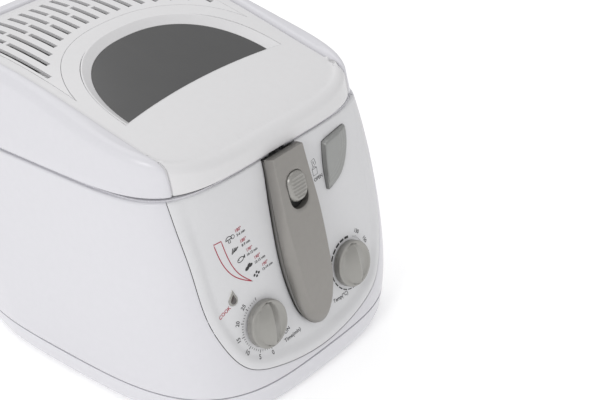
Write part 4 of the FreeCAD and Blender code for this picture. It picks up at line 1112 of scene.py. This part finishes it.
def make_button():
    outline = leaf_line(0.0)
    bowed = outline[:40]
    lines = [(outline, True)]
    centre = outline.mean(axis=0)
    for shrink in (0.965, 0.93):
        lines.append((centre + (outline - centre) * shrink, True))
    fill = grid_points(outline.min(axis=0), outline.max(axis=0), 0.7)
    flat, faces = cut_pattern(lines, fill, lambda c: inside(outline, c), 0.35)
    from_bow = distance_to(bowed, flat)
    edge = distance_to(outline, flat, True)
    steps = sum(smoothstep((from_bow - d) / 0.9) for d in STEP_PLACES)
    height = 2.3 + 0.9 * steps - softened(edge, 1.0, 1.2)
    verts = on_front(flat, floor_sink(flat[:, 1]) - height)
    to_bow = distance_to(bowed, outline)
    brink = 1.3 + 0.9 * sum(smoothstep((to_bow - d) / 0.9) for d in STEP_PLACES)
    rows = [on_front(outline, floor_sink(outline[:, 1]) - h) for h in (-4.0, brink)]
    side, quads = strips(rows, closed=True)
    turned = np.roll(outline, -1, axis=0)
    area = np.sum(outline[:, 0] * turned[:, 1] - turned[:, 0] * outline[:, 1])
    quads = quads if area > 0 else [q[::-1] for q in quads]
    faces = shifted(faces, 0) + shifted(quads, len(verts))
    return piece_from("open_button_leaf", np.concatenate([verts, side]), faces, GREY_BUTTON, "button")


button = make_button()
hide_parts("open_button")
print("button faces:", len(button.data.polygons))

# %% [markdown]
# ## The knobs
# Each knob is a round disc with a thin rim and a grip that rises to one sharp line across it,
# hollowed on both sides like two facing spoons. The height is a formula over the disc, and the
# ridge and the foot of the grip are lines of the pattern, so the ridge stays sharp.

# %% Make both knobs
KNOB_RADIUS, KNOB_TOP, KNOB_LEAN, KNOB_HEIGHT = 20.0, 6.6, math.radians(12), 75.0
GRIP_HALF, GRIP_REACH, GRIP_RISE = 12.5, 18.2, 6.2


def knob_origin(x):
    """Where the knob's axis meets the panel's floor."""
    numbers = [through_stages(column, KNOB_HEIGHT) for column in (1, 2, 3, 4)]
    reach = 1 - (abs(x) / (numbers[0] - PANEL_SINK)) ** numbers[2]
    return np.array([x, numbers[3] - (numbers[1] - PANEL_SINK) * reach ** (1 / numbers[2]), KNOB_HEIGHT])


def leaning(origin, lean, points):
    """From a frame on the panel (x across, y up, z out) to the model's frame."""
    p = np.atleast_2d(np.array(points, float))
    return origin + np.stack([p[:, 0], p[:, 1] * math.sin(lean) - p[:, 2] * math.cos(lean),
                              p[:, 1] * math.cos(lean) + p[:, 2] * math.sin(lean)], axis=1)


def make_knob(name, x, turn, body, replaced):
    angle = np.linspace(0, 2 * math.pi, 97)[:-1]
    circle = np.stack([np.cos(angle), np.sin(angle)], axis=1)
    rim = circle * (KNOB_RADIUS - 1.3)
    y = np.linspace(-GRIP_REACH, GRIP_REACH, 61)
    foot = GRIP_HALF * np.sqrt(np.clip(1 - (y / GRIP_REACH) ** 2, 0, 1))
    lines = [(rim, True), (np.stack([foot, y], axis=1), False), (np.stack([-foot, y], axis=1), False),
             (np.stack([0 * y, y], axis=1), False), (circle * (KNOB_RADIUS - 2.2), True)]
    fill = grid_points((-KNOB_RADIUS, -KNOB_RADIUS), (KNOB_RADIUS, KNOB_RADIUS), 0.9)
    flat, faces = cut_pattern(lines, fill, lambda c: np.hypot(c[:, 0], c[:, 1]) < KNOB_RADIUS - 1.3, 0.4)
    width = GRIP_HALF * np.sqrt(np.clip(1 - (flat[:, 1] / GRIP_REACH) ** 2, 1e-9, 1))
    share = np.clip(1 - np.abs(flat[:, 0]) / width, 0, 1)
    height = KNOB_TOP + GRIP_RISE * share ** 1.25 * np.clip(1 - (flat[:, 1] / GRIP_REACH) ** 2, 0, 1) ** 0.3
    distance = np.hypot(flat[:, 0], flat[:, 1])
    height += 0.5 * np.clip((distance - 15.5) / 2.3, 0, 1) * (share <= 0)
    c, s = math.cos(turn), math.sin(turn)
    spin = np.array([[c, -s], [s, c]])
    origin = knob_origin(x)
    top = leaning(origin, KNOB_LEAN, np.column_stack([flat @ spin.T, height]))
    rows = [(KNOB_RADIUS - 1.3, KNOB_TOP + 0.5), (KNOB_RADIUS - 0.6, KNOB_TOP + 0.35),
            (KNOB_RADIUS - 0.15, KNOB_TOP - 0.2), (KNOB_RADIUS, KNOB_TOP - 1.0), (KNOB_RADIUS, 1.2),
            (KNOB_RADIUS - 0.3, 0.9), (KNOB_RADIUS - 4, 0.9)]
    rings = [leaning(origin, KNOB_LEAN, np.column_stack([circle @ spin.T * r, np.full(len(circle), z)]))
             for r, z in rows]
    wall, quads = strips(rings, closed=True)
    faces = shifted(faces, 0) + shifted(quads, len(top), turned=True)
    knob = piece_from(name, np.concatenate([top, wall]), faces, GREY_KNOB, body, sharp=24.0)
    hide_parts(replaced)
    return knob


TIMER_X, THERMOSTAT_X = -55.5, 51.5
make_knob("timer_dial", TIMER_X, math.radians(-6), "timer", "timer_knob")
make_knob("thermostat_dial", THERMOSTAT_X, math.radians(-4), "thermostat", "thermostat_knob")
print("knobs at x", TIMER_X, THERMOSTAT_X)

# %% [markdown]
# ## The pilot lamp
# The lamp is a teardrop: a grey frame with a raised lip round a dark glossy lens. Both are
# patterns with a height that depends on the distance to the outline.

# %% Make the pilot lamp
LAMP_AT = (-80.0, 107.0)


def teardrop(scale):
    turn = np.linspace(math.radians(52), math.radians(308), 30)
    circle = np.stack([4.6 * np.cos(turn), 4.6 * np.sin(turn)], axis=1)
    tip = np.array([[9.0, 0.0]])
    drop = np.concatenate([circle, tip]) * scale
    aim = math.radians(82)
    c, s = math.cos(aim), math.sin(aim)
    return drop @ np.array([[c, s], [-s, c]]) + LAMP_AT


def domed(name, outline, low, rise, round_off, material, spacing):
    fill = grid_points(outline.min(axis=0), outline.max(axis=0), spacing)
    flat, faces = cut_pattern([(outline, True)], fill, lambda c: inside(outline, c), spacing * 0.5)
    edge = distance_to(outline, flat, True)
    height = low + rise * quarter_round(np.clip(edge / round_off, 0, 1))
    verts = on_front(flat, floor_sink(flat[:, 1]) - height)
    return piece_from(name, verts, faces, material, "housing", thick=0.8)


lamp_frame = domed("lamp_frame", teardrop(1.0), 0.05, 0.9, 0.9, GREY_KNOB, 0.6)
lamp_lens = domed("lamp_lens", teardrop(0.66), 0.5, 1.2, 2.2, LAMP, 0.5)
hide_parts("pilot_lamp")
print("lamp at", LAMP_AT)

# %% [markdown]
# ## Printing on the panel
# The marks are pad-printed, so they are thin films that lie on the panel. Every mark is first
# drawn flat: a stroke is a ribbon along a line, and a word comes from Blender's own font.
# Then its points are bent onto the panel a hair above the surface. Only general words and
# numbers are used, and no maker's name.

# %% Helpers for printed marks
INK_LIFT = 0.12


def stroke(points, width, closed=False):
    """A ribbon along a line; width may be one number or one per point."""
    pts = np.array(points, float)
    ahead = np.roll(pts, -1, axis=0) - np.roll(pts, 1, axis=0)
    if not closed:
        ahead[0], ahead[-1] = pts[1] - pts[0], pts[-1] - pts[-2]
    ahead /= np.linalg.norm(ahead, axis=1)[:, None]
    side = np.stack([-ahead[:, 1], ahead[:, 0]], axis=1) * (np.ones(len(pts)) * width / 2)[:, None]
    count = len(pts)
    faces = [(i, (i + 1) % count, (i + 1) % count + count, i + count)
             for i in range(count if closed else count - 1)]
    return np.concatenate([pts + side, pts - side]), faces


def blob(points):
    """A filled outline, as a fan round its middle."""
    pts = np.array(points, float)
    count = len(pts)
    return np.concatenate([pts, [pts.mean(axis=0)]]), [(i, (i + 1) % count, count) for i in range(count)]


def ellipse(cx, cy, a, b, turn=0.0, start=0.0, end=360.0, count=20):
    angle = np.radians(np.linspace(start, end, count))
    x, y = a * np.cos(angle), b * np.sin(angle)
    c, s = math.cos(math.radians(turn)), math.sin(math.radians(turn))
    return np.stack([cx + c * x - s * y, cy + s * x + c * y], axis=1)


def word(text, x, z, height, turn=0.0):
    """A word centred at x and z, turned by degrees."""
    curve = bpy.data.curves.new("word", "FONT")
    curve.body = text
    curve.size = height * 1.38
    curve.align_x = "CENTER"
    curve.align_y = "CENTER"
    curve.resolution_u = 3
    curve.offset = 0.07
    holder = bpy.data.objects.new("word", curve)
    bpy.context.scene.collection.objects.link(holder)
    bpy.context.view_layer.update()
    mesh = bpy.data.meshes.new_from_object(holder)
    flat = np.array([v.co[:2] for v in mesh.vertices]).reshape(-1, 2)
    faces = [tuple(p.vertices) for p in mesh.polygons]
    bpy.data.objects.remove(holder)
    bpy.data.curves.remove(curve)
    bpy.data.meshes.remove(mesh)
    c, s = math.cos(math.radians(turn)), math.sin(math.radians(turn))
    turned = np.stack([x + c * flat[:, 0] - s * flat[:, 1], z + s * flat[:, 0] + c * flat[:, 1]], axis=1)
    return turned, faces


def print_marks(name, marks, material):
    """All marks of one ink as a single film on the panel."""
    verts, faces = [], []
    for flat, own in marks:
        shift = sum(len(v) for v in verts)
        verts.append(flat)
        faces += shifted(own, shift)
    flat = np.concatenate(verts)
    points = on_front(flat, panel_inset(flat) - INK_LIFT)
    return piece_from(name, points, faces, material, "housing")


print("ink lies %.2f mm above the panel" % INK_LIFT)


# %% [markdown]
# ## What is printed
# Round the timer runs a scale of minutes with a long line at every fifth. Round the
# thermostat a band of dashes grows with the heat, and short lines carry the temperatures. At
# the left a wedge shows which food takes how long, with a small picture for each food.

# %% Draw the scales
def around(x, z, radius, degrees):
    angle = math.radians(degrees)
    return (x + radius * math.cos(angle), z + radius * math.sin(angle) * math.cos(KNOB_LEAN))


def upright_turn(degrees):
    """Numbers stand with their heads outwards, and turn over below the knob."""
    turn = (degrees - 90) % 360
    return turn + 180 if 120 < turn < 240 else turn


black, red = [], []
MINUTE = 5.83
for minute in range(31):
    where = -88 - MINUTE * minute
    outer, width = (24.9, 0.55) if minute % 5 == 0 else (23.6, 0.4)
    ends = [around(TIMER_X, KNOB_HEIGHT, radius, where) for radius in (22.0, outer)]
    black.append(stroke(ends, width))
    if minute % 5 == 0 and minute < 30:
        place = around(TIMER_X, KNOB_HEIGHT, 28.0, where)
        black.append(word(str(minute), *place, 3.6, upright_turn(where)))
black.append(word("ON", -34.5, 57.0, 3.1, 22))
black.append(word("Time(min)", -30.0, 50.5, 3.4, 4))
DASHES = 13
for dash in range(DASHES):
    start, end = -84 - 203 * dash / DASHES, -84 - 203 * (dash + 0.78) / DASHES
    arc = [around(THERMOSTAT_X, KNOB_HEIGHT, 22.9, a) for a in np.linspace(start, end, 5)]
    black.append(stroke(arc, 0.7 + 1.5 * dash / DASHES))
for tick in range(25):
    where = 62 - 4.75 * tick
    outer = 24.0 if tick % 6 == 2 else 23.2
    ends = [around(THERMOSTAT_X, KNOB_HEIGHT, radius, where) for radius in (22.0, outer)]
    black.append(stroke(ends, 0.3))
for degrees, where in ((130, 52), (150, 20), (170, -11), (190, -41)):
    place = around(THERMOSTAT_X, KNOB_HEIGHT, 27.6, where)
    black.append(word(str(degrees), *place, 3.4, upright_turn(where)))
black.append(word("Temp(°C)", 32.5, 52.5, 3.4, -2))
red.append(word("COOK", -90.0, 100.5, 3.1, 24))
print("black marks:", len(black))

# %% Draw the cooking chart and the opening sign
outer_side = smooth_through([(-85, 157), (-82, 141), (-75, 127), (-57, 113)], 24)
inner_side = smooth_through([(-57, 113), (-69, 126), (-75, 141), (-77.5, 157)], 24)
red.append(stroke(np.concatenate([outer_side, inner_side[1:]]), 0.8, closed=True))


def mushroom(x, z):
    return [stroke(ellipse(x, z + 0.5, 3.2, 2.4, 8, 0, 180), 0.6),
            stroke([(x - 3.2, z + 0.4), (x + 3.2, z + 0.8)], 0.6),
            stroke([(x - 1, z + 0.4), (x - 0.8, z - 2.2), (x + 1, z - 2.2), (x + 1, z + 0.4)], 0.6),
            stroke(ellipse(x + 4.2, z + 1.2, 1.9, 1.5, 0), 0.5)]


def sticks(x, z):
    return [stroke([(x - 3 + k, z - 2 + 0.3 * k), (x - 1 + 1.3 * k, z + 2.4 - 0.2 * k)], 0.85)
            for k in (0, 1.4, 2.8, 4.2)]


def fish(x, z):
    return [stroke(ellipse(x, z, 3.4, 1.7, 12), 0.6, closed=True),
            blob([(x + 2.8, z + 0.6), (x + 5.2, z + 2.6), (x + 5.0, z - 0.6)]),
            blob(ellipse(x - 1.8, z + 0.2, 0.45, 0.45))]


def fillets(x, z):
    return [blob(ellipse(x - 1.6, z - 0.3, 2.6, 1.5, 20)), blob(ellipse(x + 2.6, z + 0.7, 2.2, 1.2, 20)),
            blob(ellipse(x + 0.8, z + 1.9, 1.8, 0.9, 20))]


def nuggets(x, z):
    return [blob(ellipse(x + dx, z + dz, 1.25, 0.95, 30))
            for dx, dz in ((-2.2, 0), (0.6, 1.6), (0.2, -1.6), (2.8, 0.2))]


FOODS = ((mushroom, -70, 154.5, "180°", "5-6 min"), (sticks, -67.5, 144.5, "180°", "8-9 min"),
         (fish, -63.5, 135, "190°", "10-12 min"), (fillets, -57.5, 125.5, "190°", "12-15 min"),
         (nuggets, -51.5, 116.5, "190°", "12-14 min"))
for draw, x, z, heat, minutes in FOODS:
    black += draw(x, z)
    red.append(word(heat, x + 11, z + 4.2, 2.7, 3))
    black.append(word(minutes, x + 13, z + 0.6, 2.2, 3))
box = [(31.8, 168.5), (32.2, 163), (37.2, 163.4), (37.4, 169), (31.8, 168.5)]
black += [stroke(box, 0.42), stroke([(31.8, 168.5), (33.6, 170.6), (37.4, 169)], 0.42),
          stroke([(33.6, 170.6), (32.4, 176.4), (36.0, 177.2), (37.4, 172.5), (35.2, 171.4)], 0.42),
          stroke([(34.6, 173.0), (34.4, 175.2)], 0.7), word("OPEN", 37.0, 159.5, 3.0, 3)]
black_print = print_marks("panel_print_black", black, INK)
red_print = print_marks("panel_print_red", red, RED_INK)
for part in (black_print, red_print):
    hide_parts("front_panel")
print("printed faces:", len(black_print.data.polygons) + len(red_print.data.polygons))

# %% [markdown]
# ## The frying basket
# The design holds the basket as a thin closed shape. The real one is woven from chromed wire:
# upright wires that bend under the floor, and rings round them. Curves with a round bevel make
# such wire with little work, and one curve object can hold all of it.

# %% Weave the basket
WIRE = 0.55


def make_basket():
    low, high = (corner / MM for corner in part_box("basket_mesh"))
    curve = bpy.data.curves.new("basket_wire", "CURVE")
    curve.dimensions = "3D"
    curve.bevel_depth = WIRE * MM
    curve.bevel_resolution = 1

    def wire(points, cyclic=False):
        spline = curve.splines.new("POLY")
        spline.points.add(len(points) - 1)
        for target, p in zip(spline.points, points):
            target.co = (p[0] * MM, p[1] * MM, p[2] * MM, 1)
        spline.use_cyclic_u = cyclic

    rim = round_rectangle(low.x + 1, high.x - 1, low.y + 1, high.y - 1, 27, 8)
    floor_z, top_z = low.z + 1.2, high.z - 0.3
    for z in np.linspace(floor_z, top_z, 15):
        wire([(x, y, z) for x, y in rim], True)
    pitch, inner, corner = 7.2, 1.1, 27.0
    half = (high.x - low.x) / 2 - 1
    for x in np.arange(low.x + 5, high.x - 3, pitch):
        cut = corner - math.sqrt(corner ** 2 - max(0.0, abs(x) - half + corner) ** 2)
        front, rear = low.y + 1 + cut + inner, high.y - 1 - cut - inner
        wire([(x, front, top_z), (x, front, floor_z + inner), (x, rear, floor_z + inner), (x, rear, top_z)])
    for y in np.arange(low.y + 5, high.y - 3, pitch):
        beyond = max(low.y + 1 + corner - y, y - high.y + 1 + corner, 0.0)
        side = half - corner + math.sqrt(corner ** 2 - beyond ** 2) - inner
        bottom = floor_z + 2 * inner
        wire([(-side, y, top_z), (-side, y, bottom), (side, y, bottom), (side, y, top_z)])
    holder = bpy.data.objects.new("basket_weave", curve)
    bpy.context.scene.collection.objects.link(holder)
    curve.materials.append(CHROME)
    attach(holder, "basket")
    return holder


basket = make_basket()
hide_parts("basket_mesh")
print("wires:", len(basket.data.splines))

# %% [markdown]
# ## Floor, light and camera
# The fryer stands on a plain pale floor that runs into a pale surround. One large soft light
# hangs above and to the left, a second fills the front, and the surround does the rest. The
# camera looks down over the front left corner through a long lens.

# %% Set up the studio
def add_floor():
    mesh = bpy.data.meshes.new("studio_floor")
    reach = 30.0
    corners = [(-reach, -reach, 0), (reach, -reach, 0), (reach, reach, 0), (-reach, reach, 0)]
    mesh.from_pydata(corners, [], [(0, 1, 2, 3)])
    floor = bpy.data.objects.new("studio_floor", mesh)
    bpy.context.scene.collection.objects.link(floor)
    pale = bpy.data.materials.new("PaleFloor")
    pale.use_nodes = True
    shader = pale.node_tree.nodes["Principled BSDF"]
    for label, value in (("Base Color", (0.93, 0.93, 0.93, 1)), ("Roughness", 0.7),
                         ("Emission Color", (1, 1, 1, 1)), ("Emission Strength", 0.27)):
        shader.inputs[label].default_value = value
    mesh.materials.append(pale)
    return floor


def add_light(name, place, target, size, power):
    data = bpy.data.lights.new(name, "AREA")
    data.size = size
    data.energy = power
    lamp = bpy.data.objects.new(name, data)
    lamp.location = place
    lamp.rotation_euler = (Vector(target) - Vector(place)).to_track_quat("-Z", "Y").to_euler()
    bpy.context.scene.collection.objects.link(lamp)
    return lamp


def add_camera():
    across = Vector((0.6547, -0.7531, -0.0653))
    upwards = Vector((0.4194, 0.2900, 0.8602))
    forward = Vector((0.6289, 0.5906, -0.5057))
    data = bpy.data.cameras.new("main_view")
    data.sensor_width = 36.0
    data.lens = 80.85
    camera = bpy.data.objects.new("main_view", data)
    place = Vector((-0.6715, -0.7871, 0.7006))
    turn = Matrix((across, upwards, -forward)).transposed().to_4x4()
    camera.matrix_world = Matrix.Translation(place) @ turn
    bpy.context.scene.collection.objects.link(camera)
    bpy.context.scene.camera = camera
    return camera


add_floor()
middle = (0.0, 0.0, 0.12)
add_light("key_softbox", (-1.6, -0.5, 1.25), middle, 0.6, 8)
add_light("top_fill", (0.2, 0.6, 1.9), middle, 1.5, 8)
world = bpy.data.worlds.new("Surround")
world.use_nodes = True
world.node_tree.nodes["Background"].inputs["Color"].default_value = (1, 1, 1, 1)
world.node_tree.nodes["Background"].inputs["Strength"].default_value = 0.68
bpy.context.scene.world = world
bpy.context.scene.view_settings.view_transform = "Standard"
camera = add_camera()
print("camera lens %.1f mm" % camera.data.lens)
